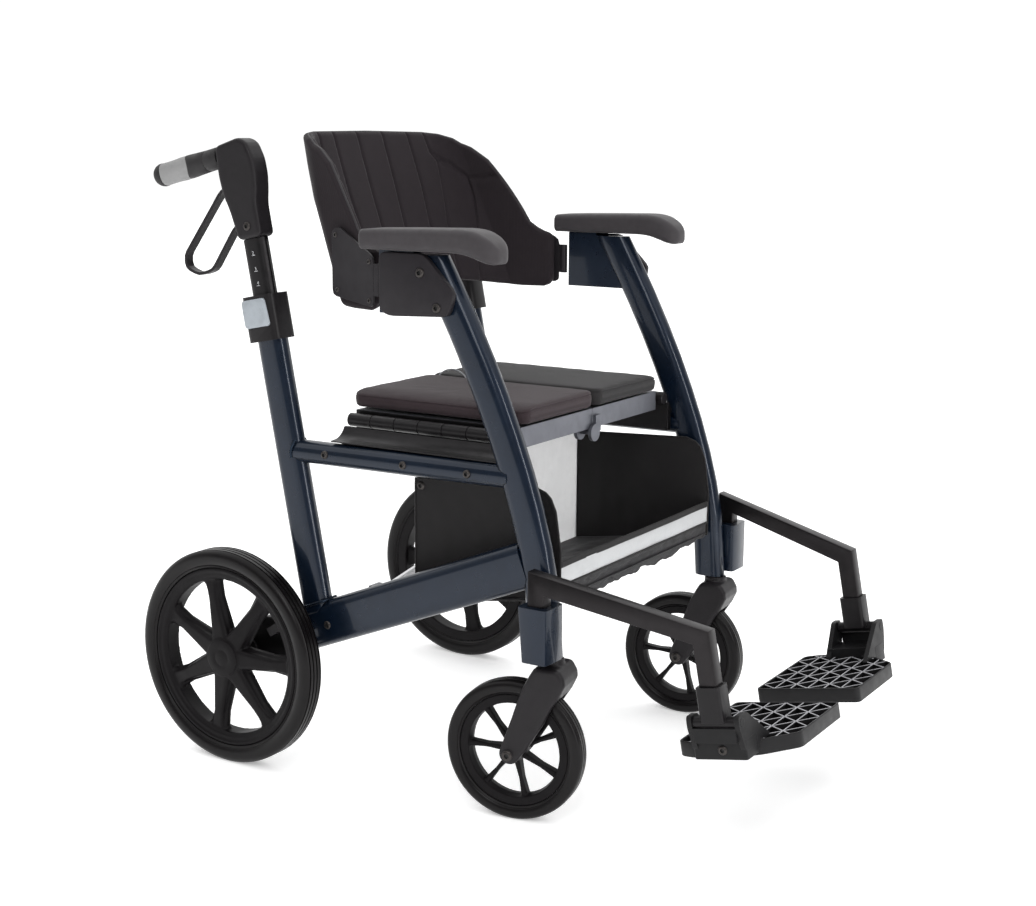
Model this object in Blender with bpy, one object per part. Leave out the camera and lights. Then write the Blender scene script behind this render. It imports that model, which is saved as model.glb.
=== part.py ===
"""Rollator walker that turns into a transport chair, as separate named pieces.

Metres, +Z up. The chair faces -Y, the sitter's right is -X, and the two sides mirror each other about X = 0.
The origin is on the floor under the middle of the whole chair's box. Places along the chair are given as
"ahead": the distance in front of the rear axle.
"""

import math

import bmesh
import bpy
from mathutils import Matrix, Vector

# ---- driving dimensions ---------------------------------------------------------------------------------
AXLE_Y = 0.3277  # the rear axle's Y
GAP = 0.0003  # between pieces that touch
SIDES = {"right": -1, "left": 1}

FRAME_X = 0.243  # middle of the side frames' tubes
TUBE_LONG = 0.0465  # flat-oval frame tube, along the chair
TUBE_WIDE = 0.029  # and across it
RAIL_R = 0.016

REAR_WHEEL_R = 0.155
REAR_WHEEL_X = 0.2976
REAR_TYRE_HALF = 0.018
REAR_RIM_R = 0.1302
REAR_SPOKES = 7

CASTER_R = 0.095
CASTER_TYRE_HALF = 0.0148
CASTER_RIM_R = 0.0765
CASTER_SPOKES = 7
CASTER_STEM_AHEAD = 0.502
CASTER_TRAIL = 0.0492
CASTER_TURN = {"right": math.radians(10.0), "left": math.radians(4.5)}  # how far each one is swivelled
FORK_CROWN_Z = 0.2180

POST_LEAN = math.atan(0.1944)  # the rear posts lean backwards
POST_FOOT_AHEAD = 0.0468  # the post's axis at POST_FOOT_Z
POST_FOOT_Z = 0.5977
POST_TOP = 0.060  # along the post, above POST_FOOT_Z
HANDLE_TUBE = (0.038, 0.022)
POST_BORE = (0.0405, 0.0236)

RAIL_Z = 0.455
LOWER_TUBE_TALL = 0.062
LOWER_TUBE_SLOPE = math.atan(0.4)
LOWER_TUBE_Z = 0.1576  # height of the lower tube's axis at the rear axle

SEAT_HINGE_X = 0.205
SEAT_HINGE_Z = 0.4975
SEAT_CENTRE_Z = 0.4755
SEAT_BACK, SEAT_FRONT = 0.150, 0.4190
HINGE_FRONT = 0.4275
KNUCKLE_R = 0.0088
KNUCKLES = 7

FOOT_TILT = math.radians(11.0)  # the footrest leans forwards, so its plate's front is raised
FOOT_X = 0.2375
FOOT_AHEAD, FOOT_Z = 0.7406, 0.1486  # where the foot tube's axis meets the plate's top
FOOT_HINGE_X, FOOT_HINGE_N = 0.2395, 0.034
HANGER_SECTION = (0.024, 0.020)
SOCKET_X, SOCKET_AHEAD = 0.2785, 0.5035

BACK_PIN_X, BACK_PIN_AHEAD = 0.238, 0.229

# ---- colours: base colour, roughness, metallic -----------------------------------------------------------
PAINTS = {
    "frame_paint": ((0.030, 0.045, 0.075), 0.30, 0.5),
    "black_plastic": ((0.030, 0.028, 0.030), 0.45, 0.0),
    "black_alloy": ((0.035, 0.035, 0.037), 0.35, 0.7),
    "tyre": ((0.018, 0.017, 0.018), 0.65, 0.0),
    "grey_rubber": ((0.300, 0.300, 0.305), 0.60, 0.0),
    "grey_plastic": ((0.420, 0.450, 0.490), 0.45, 0.0),
    "seat_alloy": ((0.380, 0.390, 0.410), 0.35, 0.8),
    "silver_alloy": ((0.550, 0.555, 0.565), 0.35, 0.9),
    "pad_foam": ((0.055, 0.050, 0.055), 0.75, 0.0),
    "seat_fabric": ((0.100, 0.085, 0.095), 0.90, 0.0),
    "back_fabric": ((0.030, 0.027, 0.031), 0.90, 0.0),
    "bag_fabric": ((0.020, 0.018, 0.020), 0.85, 0.0),
    "webbing": ((0.550, 0.560, 0.580), 0.80, 0.0),
}


# ---- places and frames ------------------------------------------------------------------------------------
def place(x, ahead, z):
    """The point this far from the middle plane, ahead of the rear axle, and above the floor."""
    return Vector((x, AXLE_Y - ahead, z))


UP = Vector((0, 0, 1))
FORWARD = Vector((0, -1, 0))
ACROSS = Vector((1, 0, 0))
POST_UP = Vector((0, math.sin(POST_LEAN), math.cos(POST_LEAN)))
POST_BACK = Vector((0, math.cos(POST_LEAN), -math.sin(POST_LEAN)))
LOWER_FORWARD = Vector((0, -math.cos(LOWER_TUBE_SLOPE), math.sin(LOWER_TUBE_SLOPE)))
LOWER_UP = Vector((0, math.sin(LOWER_TUBE_SLOPE), math.cos(LOWER_TUBE_SLOPE)))
FOOT_FORWARD = Vector((0, -math.cos(FOOT_TILT), math.sin(FOOT_TILT)))
FOOT_UP = Vector((0, math.sin(FOOT_TILT), math.cos(FOOT_TILT)))


def on_post(side, back, up, x=0.0):
    """A point in the rear post's own frame: behind its axis, up along it, and x outwards from its middle."""
    foot = place(side * FRAME_X, POST_FOOT_AHEAD, POST_FOOT_Z)
    return foot + POST_UP * up + POST_BACK * back + ACROSS * side * x


def on_foot(side, x, forward, up):
    """A point in the footrest's leaning frame."""
    return place(side * x, FOOT_AHEAD, FOOT_Z) + FOOT_FORWARD * forward + FOOT_UP * up


def leg_ahead(z):
    """The front leg's centre line: how far ahead it is at height z. A straight shank under a growing curve."""
    top, shank_top = 0.735, 0.300
    shank = 0.4925 - 0.07 * (z - 0.2262)
    if z <= shank_top:
        return shank
    rise = (z - shank_top) / (top - shank_top)
    return shank - 0.142 * rise**1.62 - 0.0015 * rise


# ---- outlines ---------------------------------------------------------------------------------------------
def arc(centre, radius, start, end, steps):
    """Points along an arc, from the start angle to the end angle, in degrees."""
    angles = [math.radians(start + (end - start) * i / steps) for i in range(steps + 1)]
    return [(centre[0] + radius * math.cos(a), centre[1] + radius * math.sin(a)) for a in angles]


def circle(radius, steps, centre=(0.0, 0.0)):
    return arc(centre, radius, 0, 360 - 360 / steps, steps - 1)


def rounded(width, height, radius, steps=3, centre=(0.0, 0.0)):
    """A rounded rectangle."""
    half_w, half_h = width / 2 - radius, height / 2 - radius
    points = []
    for corner, (sx, sy) in enumerate(((1, 1), (-1, 1), (-1, -1), (1, -1))):
        middle = (centre[0] + sx * half_w, centre[1] + sy * half_h)
        points += arc(middle, radius, 90 * corner, 90 * corner + 90, steps)
    return points


def flat_oval(width, height, steps=5):
    """A rounded rectangle whose short sides are half circles."""
    radius = min(width, height) / 2 - 1e-5
    return rounded(width, height, radius, steps)


def round_corners(outline, radius, steps=3):
    """The outline with each corner cut by a short curve, radius back from the corner at most."""
    points = []
    for i, here in enumerate(outline):
        here = Vector(here)
        before, after = Vector(outline[i - 1]), Vector(outline[(i + 1) % len(outline)])
        cut = min(radius, (before - here).length * 0.45, (after - here).length * 0.45)
        first = here + (before - here).normalized() * cut
        last = here + (after - here).normalized() * cut
        for k in range(steps + 1):
            t = k / steps
            points.append(tuple(first * (1 - t) ** 2 + here * 2 * t * (1 - t) + last * t**2))
    return points


# ---- meshes -----------------------------------------------------------------------------------------------
def ring(section, centre, u_axis, v_axis):
    return [centre + u_axis * u + v_axis * v for u, v in section]


def loft(bm, rings, round_the_end=False, caps=True):
    """Skins a row of rings that have the same number of points."""
    loops = [[bm.verts.new(point) for point in points] for points in rings]
    pairs = list(zip(loops, loops[1:]))
    if round_the_end:
        pairs.append((loops[-1], loops[0]))
    for low, high in pairs:
        count = len(low)
        for i in range(count):
            bm.faces.new((low[i], low[(i + 1) % count], high[(i + 1) % count], high[i]))
    if caps and not round_the_end:
        bm.faces.new(loops[0])
        bm.faces.new(loops[-1])
    return loops


def hollow_loft(bm, outer, inner):
    """A tube with a wall: the outer rings, the inner rings, and flat ends between them."""
    out = loft(bm, outer, caps=False)
    into = loft(bm, inner, caps=False)
    for a, b in ((out[0], into[0]), (out[-1], into[-1])):
        for i in range(len(a)):
            bm.faces.new((a[i - 1], a[i], b[i], b[i - 1]))


def bar(bm, start, end, section, u_axis, v_axis):
    """A straight prism of one section."""
    loft(bm, [ring(section, start, u_axis, v_axis), ring(section, end, u_axis, v_axis)])


def slab(bm, outline, low, high, at, u_axis, v_axis, w_axis):
    """An outline in the u, v plane, given thickness from low to high along w."""
    rings = [ring(outline, at + w_axis * w, u_axis, v_axis) for w in (low, high)]
    loft(bm, rings)


def block(bm, low, high):
    """A box between two corners."""
    section = ((low[0], low[1]), (high[0], low[1]), (high[0], high[1]), (low[0], high[1]))
    slab(bm, section, low[2], high[2], Vector(), ACROSS, Vector((0, 1, 0)), UP)


def side_block(bm, side, xs, aheads, zs):
    """A box given by distances outwards, ahead and up."""
    a, b = place(side * xs[0], aheads[0], zs[0]), place(side * xs[1], aheads[1], zs[1])
    block(bm, [min(p) for p in zip(a, b)], [max(p) for p in zip(a, b)])


def turned(bm, profile, centre, axis, steps):
    """A closed profile of (radius, along the axis) turned round the axis into a ring."""
    side_on = axis.orthogonal().normalized()
    other = axis.cross(side_on)
    rings = []
    for i in range(steps):
        angle = 2 * math.pi * i / steps
        out = side_on * math.cos(angle) + other * math.sin(angle)
        rings.append([centre + out * r + axis * along for r, along in profile])
    loft(bm, rings, round_the_end=True)


def rod(bm, start, end, radius, steps=16):
    axis = (end - start).normalized()
    side_on = axis.orthogonal().normalized()
    bar(bm, start, end, circle(radius, steps), side_on, axis.cross(side_on))


# ---- objects ----------------------------------------------------------------------------------------------
def clear_scene():
    for obj in list(bpy.data.objects):
        bpy.data.objects.remove(obj, do_unlink=True)


def material(name):
    found = bpy.data.materials.get(name)
    if found:
        return found
    colour, roughness, metallic = PAINTS[name]
    made = bpy.data.materials.new(name)
    made.use_nodes = True
    shader = made.node_tree.nodes["Principled BSDF"]
    shader.inputs["Base Color"].default_value = (*colour, 1.0)
    shader.inputs["Roughness"].default_value = roughness
    shader.inputs["Metallic"].default_value = metallic
    made.diffuse_color = (*colour, 1.0)
    return made


def solid(name, bm, paint, origin=(0.0, 0.0, 0.0), bevel=0.0, bevel_steps=2):
    """Turns a bmesh in world coordinates into an object whose origin is where it turns or slides from."""
    origin = Vector(origin)
    bmesh.ops.recalc_face_normals(bm, faces=bm.faces)
    bmesh.ops.translate(bm, verts=bm.verts, vec=-origin)
    mesh = bpy.data.meshes.new(name)
    bm.to_mesh(mesh)
    bm.free()
    mesh.shade_smooth()
    mesh.set_sharp_from_angle(angle=math.radians(35))
    obj = bpy.data.objects.new(name, mesh)
    obj.location = origin
    obj.data.materials.append(material(paint))
    bpy.context.scene.collection.objects.link(obj)
    if bevel:
        rounding = obj.modifiers.new("rounding", "BEVEL")
        rounding.width = bevel
        rounding.segments = bevel_steps
        rounding.limit_method = "ANGLE"
        rounding.angle_limit = math.radians(40)
    return obj


def helper(name, bm, origin=(0.0, 0.0, 0.0)):
    """A cutter or an addition for a Boolean, which is not a piece of its own."""
    obj = solid(name, bm, "black_plastic", origin)
    obj.hide_render = True
    obj.display_type = "WIRE"
    return obj


def combine(obj, other, operation):
    step = obj.modifiers.new(operation.lower(), "BOOLEAN")
    step.operation = operation
    step.solver = "EXACT"
    step.object = other


# ---- side frames ------------------------------------------------------------------------------------------
def post_rings(side, grow=0.0, low=-0.415, high=POST_TOP):
    section = flat_oval(TUBE_LONG + 2 * grow, TUBE_WIDE + 2 * grow)
    return [ring(section, on_post(side, 0, up), POST_BACK, ACROSS) for up in (low, high)]


def lower_tube_rings(side, grow=0.0, start=0.103, end=0.50):
    section = flat_oval(TUBE_WIDE + 2 * grow, LOWER_TUBE_TALL + 2 * grow)
    axle = place(side * FRAME_X, 0, LOWER_TUBE_Z)
    return [ring(section, axle + LOWER_FORWARD * s, ACROSS, LOWER_UP) for s in (start, end)]


def leg_rings(side, grow=0.0, low=0.2258, high=0.7345, steps=11):
    """The leg's rings, square to its curve; the first and last lie flat."""
    section = flat_oval(TUBE_LONG + 2 * grow, TUBE_WIDE + 2 * grow)
    rings = []
    for i in range(steps + 1):
        z = low + (high - low) * i / steps
        slope = (leg_ahead(z + 1e-4) - leg_ahead(z - 1e-4)) / 2e-4
        along = Vector((0, -slope, 1)).normalized()
        square = along.cross(ACROSS).normalized()
        if i in (0, steps):
            square = Vector((0, 1 / math.cos(math.atan(slope)), 0))
        rings.append(ring(section, place(side * FRAME_X, leg_ahead(z), z), square, ACROSS))
    return rings


def cope_with(obj, name, rings):
    """Cuts the end of a tube to the shape of the tube that it is welded to."""
    bm = bmesh.new()
    loft(bm, rings)
    combine(obj, helper(name, bm), "DIFFERENCE")


def trim_behind(obj, name, side, ahead):
    """Squares off what a cope leaves wrapped round the post."""
    bm = bmesh.new()
    side_block(bm, side, (0.20, 0.29), (0.0, ahead), (0.40, 0.50))
    combine(obj, helper(name, bm), "DIFFERENCE")


def trim_ahead(obj, name, side, ahead):
    """Squares off what a cope leaves wrapped round the leg."""
    bm = bmesh.new()
    side_block(bm, side, (0.20, 0.29), (ahead, 0.60), (0.40, 0.50))
    combine(obj, helper(name, bm), "DIFFERENCE")


def rear_post(label, side):
    """Flat-oval post, bored for the handle tube, standing on the lower tube."""
    bm = bmesh.new()
    loft(bm, post_rings(side))
    post = solid(f"rear_post_{label}", bm, "frame_paint")
    cope_with(post, f"post_foot_cut_{label}", lower_tube_rings(side, GAP, start=0.02, end=0.24))
    bm = bmesh.new()
    bore = flat_oval(*POST_BORE)
    bar(bm, on_post(side, 0, -0.285), on_post(side, 0, POST_TOP + 0.01), bore, POST_BACK, ACROSS)
    combine(post, helper(f"post_bore_{label}", bm), "DIFFERENCE")


def side_rail(label, side):
    """Round upper tube from the post to the leg, which carries the seat's hinge."""
    bm = bmesh.new()
    rod(bm, place(side * FRAME_X, 0.076, RAIL_Z - 0.002), place(side * FRAME_X, 0.447, RAIL_Z + 0.001), RAIL_R, 20)
    rail = solid(f"side_rail_{label}", bm, "frame_paint")
    cope_with(rail, f"rail_back_cut_{label}", post_rings(side, GAP))
    trim_behind(rail, f"rail_back_trim_{label}", side, 0.0860)
    cope_with(rail, f"rail_front_cut_{label}", leg_rings(side, GAP))
    trim_ahead(rail, f"rail_front_trim_{label}", side, 0.4400)


def lower_tube(label, side):
    """Tall flat-oval tube from the axle carrier up to the leg, with the brace's lug on its inner face."""
    bm = bmesh.new()
    loft(bm, lower_tube_rings(side))
    tube = solid(f"lower_tube_{label}", bm, "frame_paint")
    cope_with(tube, f"lower_tube_cut_{label}", leg_rings(side, GAP))
    bm = bmesh.new()
    for cheek in ((0.1975, 0.2035), (0.2195, 0.2255)):
        side_block(bm, side, (0.2075, 0.2305), cheek, (0.2525, 0.2715))
    combine(tube, helper(f"brace_lug_{label}", bm), "UNION")
    bm = bmesh.new()
    rod(bm, place(side * BRACE_X, 0.19, BRACE_Z), place(side * BRACE_X, 0.235, BRACE_Z), 0.0036, 12)
    combine(tube, helper(f"brace_lug_bore_{label}", bm), "DIFFERENCE")


def front_leg(label, side):
    """Curved leg, with the welded socket that the footrest drops into, bored for the caster's stem."""
    bm = bmesh.new()
    loft(bm, leg_rings(side))
    leg = solid(f"front_leg_{label}", bm, "frame_paint")
    bm = bmesh.new()
    foot = place(side * (SOCKET_X - 0.0025), SOCKET_AHEAD + 0.0030, 0.2310)
    mouth = place(side * (SOCKET_X - 0.0025), SOCKET_AHEAD, 0.3030)
    sections = rounded(0.0450, 0.0370, 0.0050, 2), rounded(0.0450, 0.0430, 0.0050, 2)
    loft(bm, [ring(section, at, ACROSS, FORWARD) for section, at in zip(sections, (foot, mouth))])
    combine(leg, helper(f"socket_body_{label}", bm), "UNION")
    bm = bmesh.new()
    bore = rounded(HANGER_SECTION[1] + 0.0012, HANGER_SECTION[0] + 0.0012, 0.002, 2)
    slab(bm, bore, 0.2360, 0.3100, place(side * SOCKET_X, SOCKET_AHEAD, 0), ACROSS, FORWARD, UP)
    combine(leg, helper(f"socket_bore_{label}", bm), "DIFFERENCE")
    bm = bmesh.new()
    rod(bm, place(side * FRAME_X, CASTER_STEM_AHEAD, 0.21), place(side * FRAME_X, CASTER_STEM_AHEAD, 0.262), 0.0066)
    combine(leg, helper(f"stem_bore_{label}", bm), "DIFFERENCE")


def back_bracket(label, side):
    """Plate box welded behind the leg's top: the armrest's seat and the backrest's fixed hinge leaf."""
    outline = [(0.2410, 0.6560), (0.3720, 0.6560), (0.3720, 0.7385), (0.2410, 0.7385)]
    bm = bmesh.new()
    slab(bm, outline, side * 0.2325, side * 0.2572, place(0, 0, 0), FORWARD, UP, ACROSS)
    bracket = solid(f"back_bracket_{label}", bm, "frame_paint")
    cope_with(bracket, f"bracket_cut_{label}", leg_rings(side, GAP, high=0.76))
    bm = bmesh.new()
    front = [(leg_ahead(0.735), 0.80), (leg_ahead(0.735), 0.7345), (leg_ahead(0.69), 0.69)]
    front += [(leg_ahead(0.62), 0.62), (0.45, 0.62), (0.45, 0.80)]
    slab(bm, front, side * 0.20, side * 0.29, place(0, 0, 0), FORWARD, UP, ACROSS)
    combine(bracket, helper(f"bracket_front_cut_{label}", bm), "DIFFERENCE")
    bm = bmesh.new()
    for low, high in ((0.6585, 0.6745), (0.7185, 0.7345)):
        rod(bm, place(side * BACK_PIN_X, BACK_PIN_AHEAD, low), place(side * BACK_PIN_X, BACK_PIN_AHEAD, high), 0.0055)
        side_block(bm, side, (0.2345, 0.2435), (0.229, 0.246), (low, high))
    combine(bracket, helper(f"bracket_knuckles_{label}", bm), "UNION")


def bracket_cover(label, side):
    """Moulded cover over the bracket and the leg's top, screwed on from outside."""
    outline = [(0.2470, 0.7365), (0.3180, 0.7365), (0.3660, 0.6880), (0.3560, 0.6575)]
    outline += [(0.2620, 0.6535), (0.2470, 0.6600)]
    bm = bmesh.new()
    outline = round_corners(outline, 0.008, 2)
    slab(bm, outline, side * 0.2578, side * 0.2668, place(0, 0, 0), FORWARD, UP, ACROSS)
    solid(f"bracket_cover_{label}", bm, "black_plastic", bevel=0.0015)


def armrest_pad(label, side):
    """Foam pad, flat behind and drooping to a rounded nose in front."""
    outline = [(0.2190, 0.7400), (0.2190, 0.7600), (0.3000, 0.7645), (0.3750, 0.7675), (0.4000, 0.7640)]
    outline += [(0.4190, 0.7550), (0.4280, 0.7430), (0.4280, 0.7330), (0.4215, 0.7265), (0.4100, 0.7280)]
    outline += [(0.3920, 0.7360), (0.3750, 0.7405)]
    bm = bmesh.new()
    slab(bm, outline, side * 0.2155, side * 0.2705, place(0, 0, 0), FORWARD, UP, ACROSS)
    solid(f"armrest_pad_{label}", bm, "pad_foam", bevel=0.006)


# ---- handles ----------------------------------------------------------------------------------------------
BUTTON_TRAVEL = 0.0022
BUTTON_X = (0.0180, 0.0243)


def button_outline(grow=0.0):
    outline = [(-0.0185 - grow, 0.0270 - grow), (0.0255 + grow, 0.0270 - grow)]
    outline += [(0.0255 + grow, 0.0660 + grow), (-0.0160 - grow, 0.0660 + grow)]
    return round_corners(outline, 0.004, 2)


def handle_collar(label, side):
    """Clamp moulding on the post's top: a stepped bore for post and tube, and a pocket for the button."""
    bm = bmesh.new()
    outline = rounded(0.0560, 0.0440, 0.0110, 3, centre=(0.0010, 0.0))
    bar(bm, on_post(side, 0, 0.0070), on_post(side, 0, 0.0705), outline, POST_BACK, ACROSS)
    collar = solid(f"handle_collar_{label}", bm, "black_plastic")
    for part, size, low, high in (
        ("post", (TUBE_LONG + 0.0008, TUBE_WIDE + 0.0008), 0.0, POST_TOP + GAP),
        ("tube", (HANDLE_TUBE[0] + 0.0012, HANDLE_TUBE[1] + 0.0012), 0.055, 0.08),
    ):
        bm = bmesh.new()
        bar(bm, on_post(side, 0, low), on_post(side, 0, high), flat_oval(*size), POST_BACK, ACROSS)
        combine(collar, helper(f"collar_{part}_bore_{label}", bm), "DIFFERENCE")
    bm = bmesh.new()
    depth = (BUTTON_X[0] - BUTTON_TRAVEL - 0.0003, 0.03)
    slab(bm, button_outline(0.0004), side * depth[0], side * depth[1], on_post(side, 0, 0), POST_BACK, POST_UP, ACROSS)
    combine(collar, helper(f"collar_pocket_{label}", bm), "DIFFERENCE")


def height_button(label, side):
    """Push button in the collar that lets the handle tube slide."""
    bm = bmesh.new()
    slab(bm, button_outline(), side * BUTTON_X[0], side * BUTTON_X[1], on_post(side, 0, 0), POST_BACK, POST_UP, ACROSS)
    solid(f"height_button_{label}", bm, "grey_plastic", on_post(side, 0, 0.046, 0.021), bevel=0.0012)


def handle_tube(label, side):
    """Flat-oval tube that slides in the post."""
    bm = bmesh.new()
    bar(bm, on_post(side, 0, -0.200), on_post(side, 0, 0.1487), flat_oval(*HANDLE_TUBE), POST_BACK, ACROSS)
    solid(f"handle_tube_{label}", bm, "black_alloy", on_post(side, 0, 0.0705))


LEVER_PIVOT = (0.014, 0.222)  # behind the post's axis, and up it
HEAD_OUTLINE = [
    (-0.0225, 0.149), (0.0195, 0.149), (0.0265, 0.190), (0.0340, 0.216), (0.0360, 0.240), (0.0340, 0.2820),
    (-0.0100, 0.2870), (-0.0230, 0.2780), (-0.0300, 0.2550), (-0.0305, 0.2330), (-0.0270, 0.2120), (-0.0225, 0.1950),
]


def handle_head(label, side):
    """Moulded head on the tube: grip root above, slot for the brake lever behind."""
    bm = bmesh.new()
    outline = round_corners(HEAD_OUTLINE, 0.006, 2)
    slab(bm, outline, -0.0158, 0.0158, on_post(side, 0, 0), POST_BACK, POST_UP, ACROSS)
    head = solid(f"handle_head_{label}", bm, "black_plastic", bevel=0.004)
    bm = bmesh.new()
    slot = [(0.0030, 0.1600), (0.06, 0.1600), (0.06, 0.2440), (0.0030, 0.2440)]
    slab(bm, slot, -0.0085, 0.0085, on_post(side, 0, 0), POST_BACK, POST_UP, ACROSS)
    combine(head, helper(f"lever_slot_{label}", bm), "DIFFERENCE")


def grip(label, side):
    """Hand grip, a turned sleeve with a rounded end cap."""
    start, end = on_post(side, 0.0365, 0.2676), on_post(side, 0.1600, 0.2622)
    axis = (end - start).normalized()
    length = (end - start).length
    stations = [(0.0, 0.0152), (0.052, 0.0158), (0.064, 0.0166), (0.100, 0.0158), (length - 0.010, 0.0166)]
    stations += [(length - 0.004, 0.0150), (length, 0.0100)]
    side_on = axis.cross(ACROSS)
    rings = [ring(circle(r, 20), start + axis * s, side_on, ACROSS) for s, r in stations]
    bm = bmesh.new()
    loft(bm, rings)
    solid(f"grip_{label}", bm, "grey_rubber")


def brake_lever(label, side):
    """Closed loop of flat strap that hangs from the head and is squeezed up to the grip."""
    pivot_back, pivot_up = LEVER_PIVOT
    outer = [
        (0.0440, 0.2235), (0.1320, 0.1460), (0.1330, 0.1260), (0.1100, 0.1125), (0.0820, 0.1150),
        (0.0300, 0.1650), (0.0080, 0.1780), (0.0070, pivot_up + 0.006), (pivot_back, pivot_up + 0.009),
    ]
    outer = round_corners(outer, 0.008, 2)
    inner = inset(outer, 0.0042)
    bm = bmesh.new()
    middle = on_post(side, 0, 0)
    rings = [
        [ring(shape, middle + ACROSS * x, POST_BACK, POST_UP) for x in (-0.0065, 0.0065)] for shape in (outer, inner)
    ]
    hollow_loft(bm, *rings)
    solid(f"brake_lever_{label}", bm, "black_alloy", on_post(side, pivot_back, pivot_up))


def inset(outline, distance):
    """The outline moved inwards by a distance, corner by corner."""
    turn = sum(
        a[0] * b[1] - b[0] * a[1] for a, b in zip(outline, outline[1:] + outline[:1])
    )
    sign = 1 if turn > 0 else -1
    points = []
    for i, here in enumerate(outline):
        before, after = Vector(outline[i - 1]), Vector(outline[(i + 1) % len(outline)])
        here = Vector(here)
        one, two = (here - before).normalized(), (after - here).normalized()
        normal = (Vector((-one.y, one.x)) + Vector((-two.y, two.x))).normalized() * sign
        lean = max(0.5, normal.dot(Vector((-two.y, two.x)) * sign))
        points.append(tuple(here + normal * distance / lean))
    return points


# ---- rear wheels ------------------------------------------------------------------------------------------
def tyre_profile(outer_r, inner_r, half, crown=0.35):
    """A tyre's section: round shoulders over a flat tread, with a tapered bead."""
    shoulder = half * crown
    return [
        (inner_r, -half * 0.80), (inner_r + (outer_r - inner_r) * 0.45, -half), (outer_r - shoulder, -half * 0.92),
        (outer_r - shoulder * 0.25, -half * 0.62), (outer_r, -half * 0.25), (outer_r, half * 0.25),
        (outer_r - shoulder * 0.25, half * 0.62), (outer_r - shoulder, half * 0.92),
        (inner_r + (outer_r - inner_r) * 0.45, half), (inner_r, half * 0.80),
    ]


def spoke(bm, centre, angle, axis, radii, halves, depths, offset):
    """A tapering spoke from the hub to the rim: half widths and half depths at each radius."""
    side_on = Matrix.Rotation(angle, 3, axis) @ UP
    across = axis.cross(side_on)
    rings = []
    for radius, half, depth in zip(radii, halves, depths):
        section = rounded(2 * half, 2 * depth, min(half, depth) * 0.75, 2)
        rings.append(ring(section, centre + side_on * radius + axis * offset, across, axis))
    loft(bm, rings)


def rear_wheel(label, side):
    """Moulded seven-spoke rim, open on its inner side for the brake shoe, and its solid tyre."""
    centre = place(side * REAR_WHEEL_X, 0, REAR_WHEEL_R)
    outwards = ACROSS * side
    bm = bmesh.new()
    turned(bm, tyre_profile(REAR_WHEEL_R, REAR_RIM_R + GAP, REAR_TYRE_HALF), centre, outwards, 48)
    solid(f"rear_tyre_{label}", bm, "tyre", centre)

    bm = bmesh.new()
    rim = [(0.1120, -0.0150), (REAR_RIM_R, -0.0150), (REAR_RIM_R, 0.0150), (0.1165, 0.0150), (0.1120, 0.0110)]
    turned(bm, rim, centre, outwards, 48)
    wheel = solid(f"rear_rim_{label}", bm, "black_plastic", centre)
    bm = bmesh.new()
    hub = [(0.0075, -0.0085), (0.0260, -0.0085), (0.0300, 0.0000), (0.0300, 0.0140), (0.0220, 0.0195), (0.0075, 0.0203)]
    turned(bm, hub, centre, outwards, 24)
    combine(wheel, helper(f"rear_hub_{label}", bm, centre), "UNION")
    bm = bmesh.new()
    for i in range(REAR_SPOKES):
        angle = 2 * math.pi * (i + 0.28) / REAR_SPOKES
        spoke(bm, centre, angle, outwards, (0.0250, 0.0700, 0.1150), (0.0100, 0.0115, 0.0165), (0.0085, 0.0065, 0.0075), 0.004)
    combine(wheel, helper(f"rear_spokes_{label}", bm, centre), "UNION")


def axle_carrier(label, side):
    """Casting plugged on the lower tube's rear end, with the stub axle that the wheel turns on."""
    outline = [(0.0920, 0.1640), (0.0900, 0.2230), (0.0560, 0.2050), (0.0300, 0.2085), (0.0100, 0.1960)]
    outline += [(-0.0200, 0.1700), (-0.0220, 0.1500), (-0.0080, 0.1340), (0.0300, 0.1300), (0.0650, 0.1480)]
    bm = bmesh.new()
    outline = round_corners(outline, 0.010, 2)
    slab(bm, outline, side * 0.2320, side * 0.2560, place(0, 0, 0), FORWARD, UP, ACROSS)
    carrier = solid(f"axle_carrier_{label}", bm, "black_alloy", bevel=0.002)
    cope_with(carrier, f"carrier_cut_{label}", lower_tube_rings(side, GAP))
    bm = bmesh.new()
    rod(bm, place(side * 0.2450, 0, REAR_WHEEL_R), place(side * 0.3170, 0, REAR_WHEEL_R), 0.0072)
    combine(carrier, helper(f"stub_axle_{label}", bm), "UNION")
    bm = bmesh.new()
    rod(bm, place(side * 0.2450, 0, REAR_WHEEL_R), place(side * 0.2850, 0, REAR_WHEEL_R), 0.0140)
    combine(carrier, helper(f"axle_shoulder_{label}", bm), "UNION")


SHOE_ANGLE = math.radians(33)
SHOE_OUT = Vector((0, -math.cos(SHOE_ANGLE), math.sin(SHOE_ANGLE)))
SHOE_ALONG = Vector((0, math.sin(SHOE_ANGLE), math.cos(SHOE_ANGLE)))


def brake_shoe(label, side):
    """Sliding shoe that presses outwards on the inside of the rim."""
    axle = place(side * REAR_WHEEL_X, 0, REAR_WHEEL_R)
    bm = bmesh.new()
    outline = arc((0, 0), 0.1080, -13, 13, 6) + arc((0, 0), 0.0980, 13, -13, 6)
    slab(bm, outline, -side * 0.0140, -side * 0.0070, axle, SHOE_OUT, SHOE_ALONG, ACROSS)
    shoe = solid(f"brake_shoe_{label}", bm, "black_plastic", axle + SHOE_OUT * 0.103)
    bm = bmesh.new()
    arm = [(0.0750, -0.0060), (0.1030, -0.0060), (0.1030, 0.0060), (0.0750, 0.0060)]
    slab(bm, arm, -side * 0.0400, -side * 0.0100, axle, SHOE_OUT, SHOE_ALONG, ACROSS)
    combine(shoe, helper(f"shoe_arm_{label}", bm), "UNION")


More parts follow.
